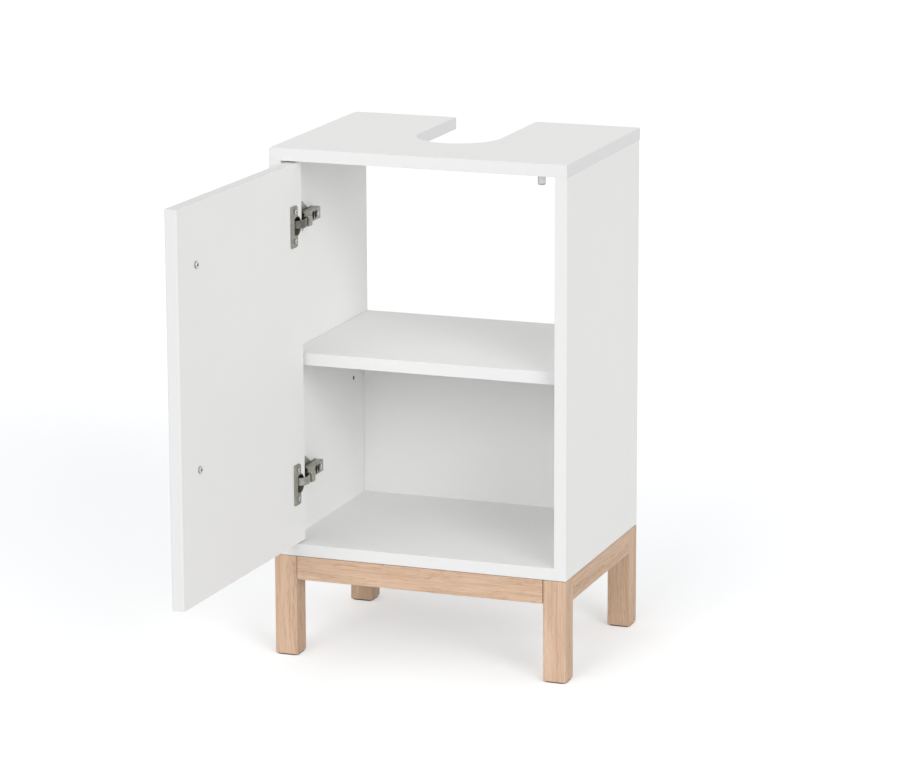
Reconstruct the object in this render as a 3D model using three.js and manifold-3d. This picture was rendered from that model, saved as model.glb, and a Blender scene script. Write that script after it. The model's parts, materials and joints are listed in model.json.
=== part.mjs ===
// A small free-standing cabinet for under a washbasin: a white board carcass on an oak base frame,
// with a cut-out for the waste pipe, one shelf, and an inset door on two concealed cup hinges.
// Millimetres. X runs to the right, Y to the back and Z up. The door is modelled closed
// and then swung to the open position in which the cabinet rests.

import * as THREE from 'three';
import { mergeVertices } from 'three/addons/utils/BufferGeometryUtils.js';
import Module from 'manifold-3d';

const wasm = await Module();
wasm.setup();

// Carcass
const WIDTH = 400;
const HEIGHT = 672;
const TOP_DEPTH = 300;
const TOP_THICKNESS = 16;
const SIDE_DEPTH = 297;
const SIDE_THICKNESS = 16;
const BOTTOM_THICKNESS = 16;
const CUTOUT_WIDTH = 112;
const CUTOUT_DEPTH = 195;

// Shelf and lower back
const SHELF_THICKNESS = 16;
const SHELF_FRONT_SETBACK = 24;
const SHELF_UNDERSIDE_ABOVE_BOTTOM = 233.5;
const SHELF_SIDE_CLEARANCE = 0.5;
const BACK_THICKNESS = 16;

// Shelf pins
const PIN_DIAMETER = 5;
const PIN_IN_HOLE = 8;
const PIN_PROUD = 7;
const PIN_CHAMFER = 0.8;
const PIN_HOLE_EXTRA_DEPTH = 1;
const PIN_FRONT_INSET = 53;
const PIN_REAR_INSET = 53;
const PIN_HOLE_PITCH = 64;

// Dowels between the boards
const DOWEL_DIAMETER = 8;
const DOWEL_LENGTH = 30;
const DOWEL_IN_FACE = 10;
const DOWEL_INSET = 50;
const DOWEL_CHAMFER = 1;

// Base frame
const BASE_HEIGHT = 136;
const LEG_SIZE = 30.5;
const LEG_ARRIS = 1.5;
const APRON_HEIGHT = 32;
const APRON_THICKNESS = 20;
const TENON_LENGTH = 9;
const TENON_THICKNESS = 9;
const TENON_SHOULDER = 5;
const GLIDE_DIAMETER = 25;
const GLIDE_THICKNESS = 1.5;
const BASE_SCREW_DIAMETER = 4;
const BASE_SCREW_LENGTH = 40;
const BASE_SCREW_HEAD = 7;
const BASE_SCREW_COUNTERBORE_DEPTH = 10;

// Door
const DOOR_THICKNESS = 16;
const DOOR_SIDE_GAP = 3.5;
const DOOR_ARRIS = 1;
const DOOR_END_GAP = 2.5;
const DOOR_OPEN_ANGLE = 92;

// Door stop
const STOP_DIAMETER = 10;
const STOP_LENGTH = 14.4;
const STOP_SPIGOT_DIAMETER = 5;
const STOP_SPIGOT_LENGTH = 9;
const STOP_FROM_RIGHT_SIDE = 24.4;
const STOP_CLEARANCE = 0.6;
const STOP_CHAMFER = 1;

// Grip strip on the outer face
const GRIP_LENGTH = 300;
const GRIP_WIDTH = 24;
const GRIP_PROUD = 17;
const GRIP_FOOT = 1.5;
const GRIP_COVE_RADIUS = 5;
const GRIP_EDGE_RADIUS = 4;
const GRIP_ABOVE_DOOR_MIDDLE = 45.5;
const GRIP_FROM_FREE_EDGE = 51;
const GRIP_SCREW_SPACING = 256;
const GRIP_SCREW_DIAMETER = 4;
const GRIP_SCREW_IN_GRIP = 10;
const GRIP_SCREW_HEAD = 8;
const GRIP_SCREW_HEAD_HEIGHT = 2.4;

// Concealed hinges
const HINGE_FROM_DOOR_TOP = 81;
const HINGE_FROM_DOOR_BOTTOM = 79;
const CUP_DIAMETER = 26;
const CUP_DEPTH = 12;
const CUP_WALL = 0.8;
const CUP_RIM = 0.6;
const CUP_FROM_EDGE = 19;
const CUP_PIN_FROM_EDGE = 11.5;
const CUP_PIN_BELOW_FACE = 8.5;
const FLANGE_LENGTH = 54;
const FLANGE_WIDTH = 19;
const FLANGE_FROM_EDGE = 16.5;
const FLANGE_CORNER = 4;
const FLANGE_THICKNESS = 1.6;
const CUP_SCREW_SPACING = 38;
const CUP_SCREW_PAST_CENTRE = 5.5;
const CUP_SCREW_DIAMETER = 3.5;
const CUP_SCREW_LENGTH = 11;
const LINK_LENGTH = 31.1;
const LINK_LEAN = 79.3;
const LINK_SWING = 7;
const LINK_HEIGHT = 10;
const LINK_THICKNESS = 1.6;
const LINK_STANDOFF = 5.9;
const LINK_BEND_INSET = 12;
const LINK_CREST_INSET = 25;
const LINK_TUCK = 0.4;
const LINK_KNUCKLE_DIAMETER = 4.6;
const PIVOT_PIN_DIAMETER = 2.4;
const PIVOT_PIN_CLEARANCE = 0.3;
const ARM_WIDTH = 16;
const ARM_NOSE_WIDTH = 13.6;
const ARM_SHEET = 1.2;
const ARM_CHEEK_DEPTH = 9;
const ARM_NOSE = 4.5;
const ARM_NOSE_CHAMFER = 3;
const ARM_CRANK_LEAD = 3;
const ARM_TOP_ABOVE_PIVOT = 2.5;
const ARM_REAR_FROM_SIDE = 13;
const ARM_REAR_END = 101;
const ARM_CRANK_START = 45;
const ARM_CRANK_END = 58;
const PLATE_BASE_THICKNESS = 2;
const PLATE_WING_HEIGHT = 40;
const PLATE_WING_FRONT = 44;
const PLATE_WING_REAR = 66;
const PLATE_SHOULDER_END = 85;
const PLATE_REAR = 102.5;
const PLATE_SCREW_INSET = 53;
const PLATE_SCREW_SPACING = 32;
const PLATE_SCREW_DIAMETER = 4;
const PLATE_SCREW_LENGTH = 12;
const FIXING_SCREW_INSET = 90;
const FIXING_SCREW_DIAMETER = 4;
const FIXING_SCREW_HEAD = 7;
const FIXING_SCREW_LENGTH = 9;
const SLOT_FROM_HEAD = 1;
const SLOT_WIDTH = 1.1;
const SLOT_HALF_ANGLE = 65;
const KEYHOLE_INSET = 76;
const KEYHOLE_DIAMETER = 4;
const KEYHOLE_SLOT = 1.8;
const KEYHOLE_DROP = 6;
const PLATE_CORNER = 2;
const SMALL_SCREW_HEAD = 6.5;
const SMALL_HEAD_HEIGHT = 1.6;

// A screw's proportions: of its head's height, its head's diameter or its shank
const HEAD_RIM_OF_HEIGHT = 0.45;
const HEAD_CROWN_OF_DIAMETER = 0.64;
const POINT_OF_SHANK = 0.8;
const RECESS_LENGTH_OF_DIAMETER = 0.5;
const RECESS_WIDTH_OF_DIAMETER = 0.13;
const RECESS_DEPTH_OF_HEIGHT = 0.6;

// Fits
const FIT = 0.3;
const HOLE_CLEARANCE = 0.2;
const PAST_FACE = 1;
const WELD_DISTANCE = 1e-4;
const BORE_SEGMENTS = 32;
const PIN_SEGMENTS = 24;
const SCREW_SEGMENTS = 12;
const SMALL_ROUND = 12;
const CUTOUT_SEGMENTS = 32;
const ARC_SEGMENTS = 6;

// Finishes
function finish(color, roughness, metalness) {
  return new THREE.MeshStandardMaterial({ color, roughness, metalness });
}

const WHITE_BOARD = finish(0xe6e5e3, 0.45, 0);
const OAK = finish(0xd2b294, 0.55, 0);
const BEECH_DOWEL = finish(0xd9c19a, 0.7, 0);
const ZINC = finish(0xb9b8b4, 0.35, 1);
const NICKEL_STEEL = finish(0xa3a19c, 0.32, 1);
const PIN_STEEL = finish(0x8f8f8d, 0.3, 1);
const CLEAR_PLASTIC = finish(0xeceeee, 0.25, 0);
const FELT = finish(0x8c7d70, 0.95, 0);

// Sizes that follow from the ones above
const carcassTop = HEIGHT - TOP_THICKNESS;
const bottomTop = BASE_HEIGHT + BOTTOM_THICKNESS;
const innerLeft = SIDE_THICKNESS;
const innerRight = WIDTH - SIDE_THICKNESS;
const shelfUnderside = bottomTop + SHELF_UNDERSIDE_ABOVE_BOTTOM;
const pinCentre = shelfUnderside - FIT - PIN_DIAMETER / 2;
const doorLeft = innerLeft + DOOR_SIDE_GAP;
const doorRight = innerRight - DOOR_SIDE_GAP;
const doorBottom = bottomTop + DOOR_END_GAP;
const doorTop = carcassTop - DOOR_END_GAP;
const hingeHeights = {
  upper: doorTop - HINGE_FROM_DOOR_TOP,
  lower: doorBottom + HINGE_FROM_DOOR_BOTTOM,
};
const cupCentre = doorLeft + CUP_FROM_EDGE;

// Hinge pivots in plan, with the door closed
const cupPivot = new THREE.Vector2(doorLeft + CUP_PIN_FROM_EDGE, DOOR_THICKNESS - CUP_PIN_BELOW_FACE);
const linkLean = THREE.MathUtils.degToRad(LINK_LEAN);
const linkSpan = new THREE.Vector2(LINK_LENGTH * Math.cos(linkLean), LINK_LENGTH * Math.sin(linkLean));
const armPivot = linkSpan.clone().add(cupPivot);

// Turns a three.js geometry into a solid that can be cut and joined.
function toSolid(geometry) {
  const bare = geometry.clone();
  bare.deleteAttribute('normal');
  bare.deleteAttribute('uv');
  const welded = mergeVertices(bare, WELD_DISTANCE);
  const count = welded.index.count;
  const triVerts = new Uint32Array(count);
  for (let i = 0; i < count; i += 1) triVerts[i] = welded.index.getX(i);
  const vertProperties = new Float32Array(welded.attributes.position.array);
  return new wasm.Manifold(new wasm.Mesh({ numProp: 3, vertProperties, triVerts }));
}

// Turns a solid back into a three.js geometry.
function toGeometry(solid) {
  const mesh = solid.getMesh();
  const geometry = new THREE.BufferGeometry();
  geometry.setAttribute('position', new THREE.BufferAttribute(new Float32Array(mesh.vertProperties), 3));
  geometry.setIndex(new THREE.BufferAttribute(new Uint32Array(mesh.triVerts), 1));
  geometry.computeVertexNormals();
  return geometry;
}

function cut(body, ...tools) {
  return toGeometry(tools.reduce((solid, tool) => solid.subtract(toSolid(tool)), toSolid(body)));
}

function join(body, ...parts) {
  return toGeometry(parts.reduce((solid, part) => solid.add(toSolid(part)), toSolid(body)));
}

// A box between two opposite corners.
function block(x0, y0, z0, x1, y1, z1) {
  const box = new THREE.BoxGeometry(x1 - x0, y1 - y0, z1 - z0);
  return box.translate((x0 + x1) / 2, (y0 + y1) / 2, (z0 + z1) / 2);
}

// A plan outline in X and Y, raised along Z between two heights.
function raised(shape, z0, z1, curveSegments = ARC_SEGMENTS) {
  const solid = new THREE.ExtrudeGeometry(shape, { depth: z1 - z0, bevelEnabled: false, curveSegments });
  return solid.translate(0, 0, z0);
}

// Larger rounds get more sides than screws and pins.
const sidesFor = (diameter) => (diameter > SMALL_ROUND ? BORE_SEGMENTS : SCREW_SEGMENTS);

// A rod from a start point along a unit direction.
function rod(diameter, start, direction, length, sides = sidesFor(diameter)) {
  const solid = new THREE.CylinderGeometry(diameter / 2, diameter / 2, length, sides);
  solid.translate(0, length / 2, 0);
  return aim(solid, start, direction);
}

// A turned piece: its profile is a list of radius and height pairs that starts and ends on the axis.
function turned(profile, start, direction, sides = SCREW_SEGMENTS) {
  const points = profile.map(([radius, height]) => new THREE.Vector2(radius, height));
  return aim(new THREE.LatheGeometry(points, sides), start, direction);
}

// Carries a piece made along +Y to a start point and direction.
function aim(geometry, start, direction) {
  const turn = new THREE.Quaternion().setFromUnitVectors(Y_AXIS, direction);
  geometry.applyQuaternion(turn);
  return geometry.translate(start.x, start.y, start.z);
}

const X_AXIS = new THREE.Vector3(1, 0, 0);
const Y_AXIS = new THREE.Vector3(0, 1, 0);
const Z_AXIS = new THREE.Vector3(0, 0, 1);
const opposite = (axis) => axis.clone().negate();
const at = (x, y, z) => new THREE.Vector3(x, y, z);

function piece(group, name, geometry, material) {
  const mesh = new THREE.Mesh(geometry, material);
  mesh.name = name;
  group.add(mesh);
}

// A rectangle with rounded corners, centred on a point.
function roundedRectangle(cx, cy, width, height, radius) {
  const shape = new THREE.Shape();
  const x = width / 2 - radius;
  const y = height / 2 - radius;
  shape.absarc(cx + x, cy + y, radius, 0, Math.PI / 2, false);
  shape.absarc(cx - x, cy + y, radius, Math.PI / 2, Math.PI, false);
  shape.absarc(cx - x, cy - y, radius, Math.PI, Math.PI * 1.5, false);
  shape.absarc(cx + x, cy - y, radius, Math.PI * 1.5, Math.PI * 2, false);
  shape.closePath();
  return shape;
}

// A rectangle in plan whose four corners are cut back by a small arris.
function easedOutline(x0, y0, x1, y1, arris) {
  const outline = new THREE.Shape();
  outline.moveTo(x0 + arris, y0);
  outline.lineTo(x1 - arris, y0);
  outline.lineTo(x1, y0 + arris);
  outline.lineTo(x1, y1 - arris);
  outline.lineTo(x1 - arris, y1);
  outline.lineTo(x0 + arris, y1);
  outline.lineTo(x0, y1 - arris);
  outline.lineTo(x0, y0 + arris);
  outline.closePath();
  return outline;
}

// A screw: a low domed head with a cross recess, a shank, and a point.
function screw(shank, length, headDiameter, headHeight, headSeat, direction) {
  const rim = headHeight * HEAD_RIM_OF_HEIGHT;
  const tip = shank * POINT_OF_SHANK;
  const crown = headDiameter * HEAD_CROWN_OF_DIAMETER / 2;
  const body = turned([
    [0, -length],
    [shank / 2, -length + tip],
    [shank / 2, 0],
    [headDiameter / 2, 0],
    [headDiameter / 2, rim],
    [crown, headHeight],
    [0, headHeight],
  ], headSeat, direction);
  const reach = headDiameter * RECESS_LENGTH_OF_DIAMETER / 2;
  const half = headDiameter * RECESS_WIDTH_OF_DIAMETER / 2;
  const floor = headHeight * (1 - RECESS_DEPTH_OF_HEIGHT);
  const past = headHeight + PAST_FACE;
  const slots = [
    block(-reach, floor, -half, reach, past, half),
    block(-half, floor, -reach, half, past, reach),
  ];
  return cut(body, ...slots.map((slot) => aim(slot, headSeat, direction)));
}

// Dowels: top dowels stand in the side panels' top edges, bottom dowels lie in the bottom panel's ends.
function dowelPlaces() {
  const places = [];
  const sides = {
    left: { middle: SIDE_THICKNESS / 2, face: innerLeft, inward: X_AXIS },
    right: { middle: WIDTH - SIDE_THICKNESS / 2, face: innerRight, inward: opposite(X_AXIS) },
  };
  const insets = { front: DOWEL_INSET, rear: SIDE_DEPTH - DOWEL_INSET };
  for (const [side, { middle, face, inward }] of Object.entries(sides)) {
    for (const [end, y] of Object.entries(insets)) {
      const foot = at(middle, y, carcassTop + DOWEL_IN_FACE - DOWEL_LENGTH);
      places.push({ name: `top_dowel_${side}_${end}`, start: foot, direction: Z_AXIS });
      const inSide = at(face, y, BASE_HEIGHT + BOTTOM_THICKNESS / 2).addScaledVector(inward, -DOWEL_IN_FACE);
      places.push({ name: `bottom_dowel_${side}_${end}`, start: inSide, direction: inward });
    }
  }
  return places;
}

function dowel({ start, direction }) {
  const r = DOWEL_DIAMETER / 2;
  return turned([
    [0, 0],
    [r - DOWEL_CHAMFER, 0],
    [r, DOWEL_CHAMFER],
    [r, DOWEL_LENGTH - DOWEL_CHAMFER],
    [r - DOWEL_CHAMFER, DOWEL_LENGTH],
    [0, DOWEL_LENGTH],
  ], start, direction);
}

function dowelHole({ start, direction }) {
  const from = start.clone().addScaledVector(direction, -FIT);
  return rod(DOWEL_DIAMETER + 2 * HOLE_CLEARANCE, from, direction, DOWEL_LENGTH + 2 * FIT);
}

const dowels = dowelPlaces();
const topDowelHoles = () => dowels.filter(({ name }) => name.startsWith('top')).map(dowelHole);
const bottomDowelHoles = () => dowels.filter(({ name }) => name.startsWith('bottom')).map(dowelHole);

// The top panel, with the rounded cut-out for the waste pipe open at its back edge.
function topPanel() {
  const left = (WIDTH - CUTOUT_WIDTH) / 2;
  const radius = CUTOUT_WIDTH / 2;
  const shape = new THREE.Shape();
  shape.moveTo(0, 0);
  shape.lineTo(WIDTH, 0);
  shape.lineTo(WIDTH, TOP_DEPTH);
  shape.lineTo(left + CUTOUT_WIDTH, TOP_DEPTH);
  shape.absarc(WIDTH / 2, TOP_DEPTH - CUTOUT_DEPTH + radius, radius, 0, -Math.PI, true);
  shape.lineTo(left, TOP_DEPTH);
  shape.lineTo(0, TOP_DEPTH);
  shape.closePath();
  const board = raised(shape, carcassTop, carcassTop + TOP_THICKNESS, CUTOUT_SEGMENTS);
  return cut(board, ...topDowelHoles(), stopSpigotHole());
}

// Places of the shelf pins: both sides, front and rear.
function pinPlaces() {
  const places = [];
  for (const side of ['left', 'right']) {
    const face = side === 'left' ? innerLeft : innerRight;
    const inward = side === 'left' ? X_AXIS : opposite(X_AXIS);
    for (const [end, y] of [['front', PIN_FRONT_INSET], ['rear', SIDE_DEPTH - PIN_REAR_INSET]]) {
      places.push({ name: `shelf_pin_${side}_${end}`, start: at(face, y, pinCentre), inward, side });
    }
  }
  return places;
}

const pins = pinPlaces();

// A shelf pin: its inner half sits in the side panel, and the rest carries the shelf.
function shelfPin({ start, inward }) {
  const r = PIN_DIAMETER / 2;
  return turned([
    [0, -PIN_IN_HOLE],
    [r, -PIN_IN_HOLE],
    [r, PIN_PROUD - PIN_CHAMFER],
    [r - PIN_CHAMFER, PIN_PROUD],
    [0, PIN_PROUD],
  ], start, inward, PIN_SEGMENTS);
}

// The two rows of holes on one side panel: the pins' own, and the spare ones a pitch below.
function pinHoles(side) {
  const depth = PIN_IN_HOLE + PIN_HOLE_EXTRA_DEPTH;
  const onThisSide = pins.filter((pin) => pin.side === side);
  return onThisSide.flatMap(({ start, inward }) => [0, PIN_HOLE_PITCH].map((drop) => {
    const end = at(start.x, start.y, start.z - drop).addScaledVector(inward, -depth);
    return rod(PIN_DIAMETER + 2 * HOLE_CLEARANCE, end, inward, depth + PAST_FACE, PIN_SEGMENTS);
  }));
}

function sidePanel(side) {
  const x0 = side === 'left' ? 0 : innerRight;
  const board = block(x0, 0, BASE_HEIGHT, x0 + SIDE_THICKNESS, SIDE_DEPTH, carcassTop);
  const hingeSeats = side === 'left' ? Object.values(hingeHeights).flatMap(plateScrewSeats) : [];
  const baseHole = baseScrewHole(baseScrews.find((place) => place.side === side));
  const hingeHoles = hingeSeats.map(plateScrewHole);
  return cut(board, ...topDowelHoles(), ...bottomDowelHoles(), ...pinHoles(side), ...hingeHoles, baseHole);
}

function bottomPanel() {
  const board = block(innerLeft, 0, BASE_HEIGHT, innerRight, SIDE_DEPTH, bottomTop);
  return cut(board, ...bottomDowelHoles());
}

function shelfBoard() {
  const x0 = innerLeft + SHELF_SIDE_CLEARANCE;
  const x1 = innerRight - SHELF_SIDE_CLEARANCE;
  return block(x0, SHELF_FRONT_SETBACK, shelfUnderside, x1, SIDE_DEPTH, shelfUnderside + SHELF_THICKNESS);
}

function lowerBackPanel() {
  return block(innerLeft, SIDE_DEPTH - BACK_THICKNESS, bottomTop, innerRight, SIDE_DEPTH, shelfUnderside);
}

// The round stop under the top panel that the closed door meets, with its spigot in the panel.
const stopInset = DOOR_THICKNESS + STOP_CLEARANCE + STOP_DIAMETER / 2;
const stopCentre = at(innerRight - STOP_FROM_RIGHT_SIDE, stopInset, carcassTop);

function doorStop() {
  const r = STOP_DIAMETER / 2;
  const spigot = STOP_SPIGOT_DIAMETER / 2;
  return turned([
    [0, -STOP_LENGTH],
    [r - STOP_CHAMFER, -STOP_LENGTH],
    [r, -STOP_LENGTH + STOP_CHAMFER],
    [r, -FIT],
    [spigot, -FIT],
    [spigot, STOP_SPIGOT_LENGTH],
    [0, STOP_SPIGOT_LENGTH],
  ], stopCentre, Z_AXIS);
}

function stopSpigotHole() {
  const from = stopCentre.clone().addScaledVector(Z_AXIS, -PAST_FACE);
  return rod(STOP_SPIGOT_DIAMETER + 2 * HOLE_CLEARANCE, from, Z_AXIS, STOP_SPIGOT_LENGTH + PAST_FACE + FIT);
}

// Legs stand at the corners; each has two mortises for the aprons' tenons.
const legCorners = {
  front_left: [0, 0],
  front_right: [WIDTH - LEG_SIZE, 0],
  rear_left: [0, SIDE_DEPTH - LEG_SIZE],
  rear_right: [WIDTH - LEG_SIZE, SIDE_DEPTH - LEG_SIZE],
};

const apronBottom = BASE_HEIGHT - APRON_HEIGHT;
const tenonInset = (APRON_THICKNESS - TENON_THICKNESS) / 2;

// The outline of one tenoned apron: its body between the legs and the tenon that runs through both ends.
function apron(face) {
  const z0 = apronBottom;
  const t0 = apronBottom + TENON_SHOULDER;
  const t1 = BASE_HEIGHT - TENON_SHOULDER;
  if (face === 'front' || face === 'rear') {
    const y0 = face === 'front' ? 0 : SIDE_DEPTH - APRON_THICKNESS;
    const body = block(LEG_SIZE, y0, z0, WIDTH - LEG_SIZE, y0 + APRON_THICKNESS, BASE_HEIGHT);
    const a = LEG_SIZE - TENON_LENGTH;
    return { body, tenon: [a, y0 + tenonInset, t0, WIDTH - a, y0 + tenonInset + TENON_THICKNESS, t1] };
  }
  const x0 = face === 'left' ? 0 : WIDTH - APRON_THICKNESS;
  const body = block(x0, LEG_SIZE, z0, x0 + APRON_THICKNESS, SIDE_DEPTH - LEG_SIZE, BASE_HEIGHT);
  const a = LEG_SIZE - TENON_LENGTH;
  return { body, tenon: [x0 + tenonInset, a, t0, x0 + tenonInset + TENON_THICKNESS, SIDE_DEPTH - a, t1] };
}

const apronFaces = ['front', 'rear', 'left', 'right'];

function apronPiece(face) {
  const { body, tenon } = apron(face);
  const holes = baseScrews.filter((place) => place.side === face).map(baseScrewHole);
  const whole = join(body, block(...tenon));
  return holes.length > 0 ? cut(whole, ...holes) : whole;
}

// A mortise is the tenon's own box, wider by the fit on every side.
function mortise(face) {
  const [x0, y0, z0, x1, y1, z1] = apron(face).tenon;
  return block(x0 - FIT, y0 - FIT, z0 - FIT, x1 + FIT, y1 + FIT, z1 + FIT);
}

// A square leg with its long edges eased.
function leg([x, y]) {
  const outline = easedOutline(x, y, x + LEG_SIZE, y + LEG_SIZE, LEG_ARRIS);
  return cut(raised(outline, GLIDE_THICKNESS, BASE_HEIGHT), ...apronFaces.map(mortise));
}

function glide([x, y]) {
  return rod(GLIDE_DIAMETER, at(x + LEG_SIZE / 2, y + LEG_SIZE / 2, 0), Z_AXIS, GLIDE_THICKNESS);
}

// Screws that pull the base frame up to the side panels, from below through the side aprons.
const baseScrewSeat = (x) => at(x, SIDE_DEPTH / 2, apronBottom + BASE_SCREW_COUNTERBORE_DEPTH);
const baseScrews = [
  { side: 'left', seat: baseScrewSeat(SIDE_THICKNESS / 2) },
  { side: 'right', seat: baseScrewSeat(WIDTH - SIDE_THICKNESS / 2) },
];

function baseScrew({ seat }) {
  const down = opposite(Z_AXIS);
  return screw(BASE_SCREW_DIAMETER, BASE_SCREW_LENGTH, BASE_SCREW_HEAD, SMALL_HEAD_HEIGHT, seat, down);
}

function baseScrewHole({ seat }) {
  const shank = rod(BASE_SCREW_DIAMETER + 2 * HOLE_CLEARANCE, seat, Z_AXIS, BASE_SCREW_LENGTH + FIT);
  const mouth = at(seat.x, seat.y, apronBottom - PAST_FACE);
  return join(shank, rod(BASE_SCREW_HEAD + 2 * HOLE_CLEARANCE, mouth, Z_AXIS, seat.z + FIT - mouth.z));
}

// The grip strip's cross-section: a bar with a finger cove along each side.
function gripProfile() {
  const middle = doorRight - GRIP_FROM_FREE_EDGE;
  const x0 = middle - GRIP_WIDTH / 2;
  const x1 = middle + GRIP_WIDTH / 2;
  const back = -FIT;
  const front = -GRIP_PROUD;
  const coveCentre = back - GRIP_FOOT - GRIP_COVE_RADIUS;
  const r = GRIP_EDGE_RADIUS;
  const shape = new THREE.Shape();
  shape.moveTo(x0, back);
  shape.lineTo(x0, back - GRIP_FOOT);
  shape.absarc(x0, coveCentre, GRIP_COVE_RADIUS, Math.PI / 2, -Math.PI / 2, true);
  shape.absarc(x0 + r, front + r, r, Math.PI, Math.PI * 1.5, false);
  shape.absarc(x1 - r, front + r, r, -Math.PI / 2, 0, false);
  shape.absarc(x1, coveCentre, GRIP_COVE_RADIUS, Math.PI * 1.5, Math.PI / 2, true);
  shape.lineTo(x1, back);
  shape.closePath();
  return shape;
}

const gripMiddle = (doorBottom + doorTop) / 2 + GRIP_ABOVE_DOOR_MIDDLE;
const gripScrewSeat = (z) => at(doorRight - GRIP_FROM_FREE_EDGE, DOOR_THICKNESS + FIT, z);
const gripScrews = [
  { name: 'grip_screw_upper', seat: gripScrewSeat(gripMiddle + GRIP_SCREW_SPACING / 2) },
  { name: 'grip_screw_lower', seat: gripScrewSeat(gripMiddle - GRIP_SCREW_SPACING / 2) },
];
const gripScrewLength = DOOR_THICKNESS + 2 * FIT + GRIP_SCREW_IN_GRIP;

function gripScrew({ seat }) {
  return screw(GRIP_SCREW_DIAMETER, gripScrewLength, GRIP_SCREW_HEAD, GRIP_SCREW_HEAD_HEIGHT, seat, Y_AXIS);
}

function gripScrewHole({ seat }) {
  const mouth = seat.clone().addScaledVector(Y_AXIS, PAST_FACE);
  const length = gripScrewLength + PAST_FACE + FIT;
  return rod(GRIP_SCREW_DIAMETER + 2 * HOLE_CLEARANCE, mouth, opposite(Y_AXIS), length);
}

function gripStrip() {
  const bar = raised(gripProfile(), gripMiddle - GRIP_LENGTH / 2, gripMiddle + GRIP_LENGTH / 2);
  return cut(bar, ...gripScrews.map(gripScrewHole));
}

// The door panel, bored for the two hinge cups, their screws and the grip's screws.
function doorPanel() {
  const outline = easedOutline(doorLeft, 0, doorRight, DOOR_THICKNESS, DOOR_ARRIS);
  const board = raised(outline, doorBottom, doorTop);
  const depth = CUP_DEPTH + FIT;
  const bores = Object.values(hingeHeights).map((z) => {
    const end = at(cupCentre, DOOR_THICKNESS - depth, z);
    return rod(CUP_DIAMETER + 2 * HOLE_CLEARANCE, end, Y_AXIS, depth + PAST_FACE);
  });
  const length = cupScrewLength + FIT;
  const pilots = Object.values(hingeHeights).flatMap(cupScrewSeats).map((seat) => {
    const end = seat.clone().addScaledVector(Y_AXIS, -length);
    return rod(CUP_SCREW_DIAMETER + 2 * HOLE_CLEARANCE, end, Y_AXIS, length + PAST_FACE);
  });
  return cut(board, ...bores, ...pilots, ...gripScrews.map(gripScrewHole));
}

// Hinge cup: a thin-walled pot in the door with a flange on the door's face and a mouth for the link.
const flangeUnder = DOOR_THICKNESS + FIT;
const flangeTop = flangeUnder + FLANGE_THICKNESS;
const cupScrewLength = CUP_SCREW_LENGTH + flangeTop - DOOR_THICKNESS;

function cupScrewSeats(z) {
  const half = CUP_SCREW_SPACING / 2;
  const x = cupCentre + CUP_SCREW_PAST_CENTRE;
  return [half, -half].map((dz) => at(x, flangeTop + FIT, z + dz));
}

function hingeCup(z) {
  const flangeMiddle = doorLeft + FLANGE_FROM_EDGE + FLANGE_WIDTH / 2;
  const pot = rod(CUP_DIAMETER, at(cupCentre, DOOR_THICKNESS - CUP_DEPTH, z), Y_AXIS, CUP_DEPTH + FIT);
  const rim = rod(CUP_DIAMETER + 2 * CUP_RIM, at(cupCentre, flangeUnder, z), Y_AXIS, FLANGE_THICKNESS);
  const plate = roundedRectangle(flangeMiddle, -z, FLANGE_WIDTH, FLANGE_LENGTH, FLANGE_CORNER);
  const flange = raised(plate, 0, FLANGE_THICKNESS).rotateX(-Math.PI / 2).translate(0, flangeUnder, 0);
  const floor = at(cupCentre, DOOR_THICKNESS - CUP_DEPTH + CUP_WALL, z);
  const hollow = rod(CUP_DIAMETER - 2 * CUP_WALL, floor, Y_AXIS, flangeTop + PAST_FACE - floor.y);
  const through = flangeTop - DOOR_THICKNESS + 2 * PAST_FACE;
  const screwHoles = cupScrewSeats(z).map((seat) => {
    const under = at(seat.x, DOOR_THICKNESS - PAST_FACE, seat.z);
    return rod(CUP_SCREW_DIAMETER + 2 * HOLE_CLEARANCE, under, Y_AXIS, through);
  });
  return cut(join(pot, rim, flange), hollow, ...screwHoles);
}

function cupScrew(seat) {
  return screw(CUP_SCREW_DIAMETER, cupScrewLength, SMALL_SCREW_HEAD, SMALL_HEAD_HEIGHT, seat, Y_AXIS);
}

// The pin across the cup that the link turns on; its ends stop just short of the cup's wall.
function cupPin(z) {
  const inner = CUP_DIAMETER / 2 - CUP_WALL;
  const offset = cupPivot.x - cupCentre;
  const reach = Math.sqrt(inner * inner - offset * offset) - FIT - PIVOT_PIN_DIAMETER / 2;
  return rod(PIVOT_PIN_DIAMETER, at(cupPivot.x, cupPivot.y, z - reach), Z_AXIS, 2 * reach, PIN_SEGMENTS);
}

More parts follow.
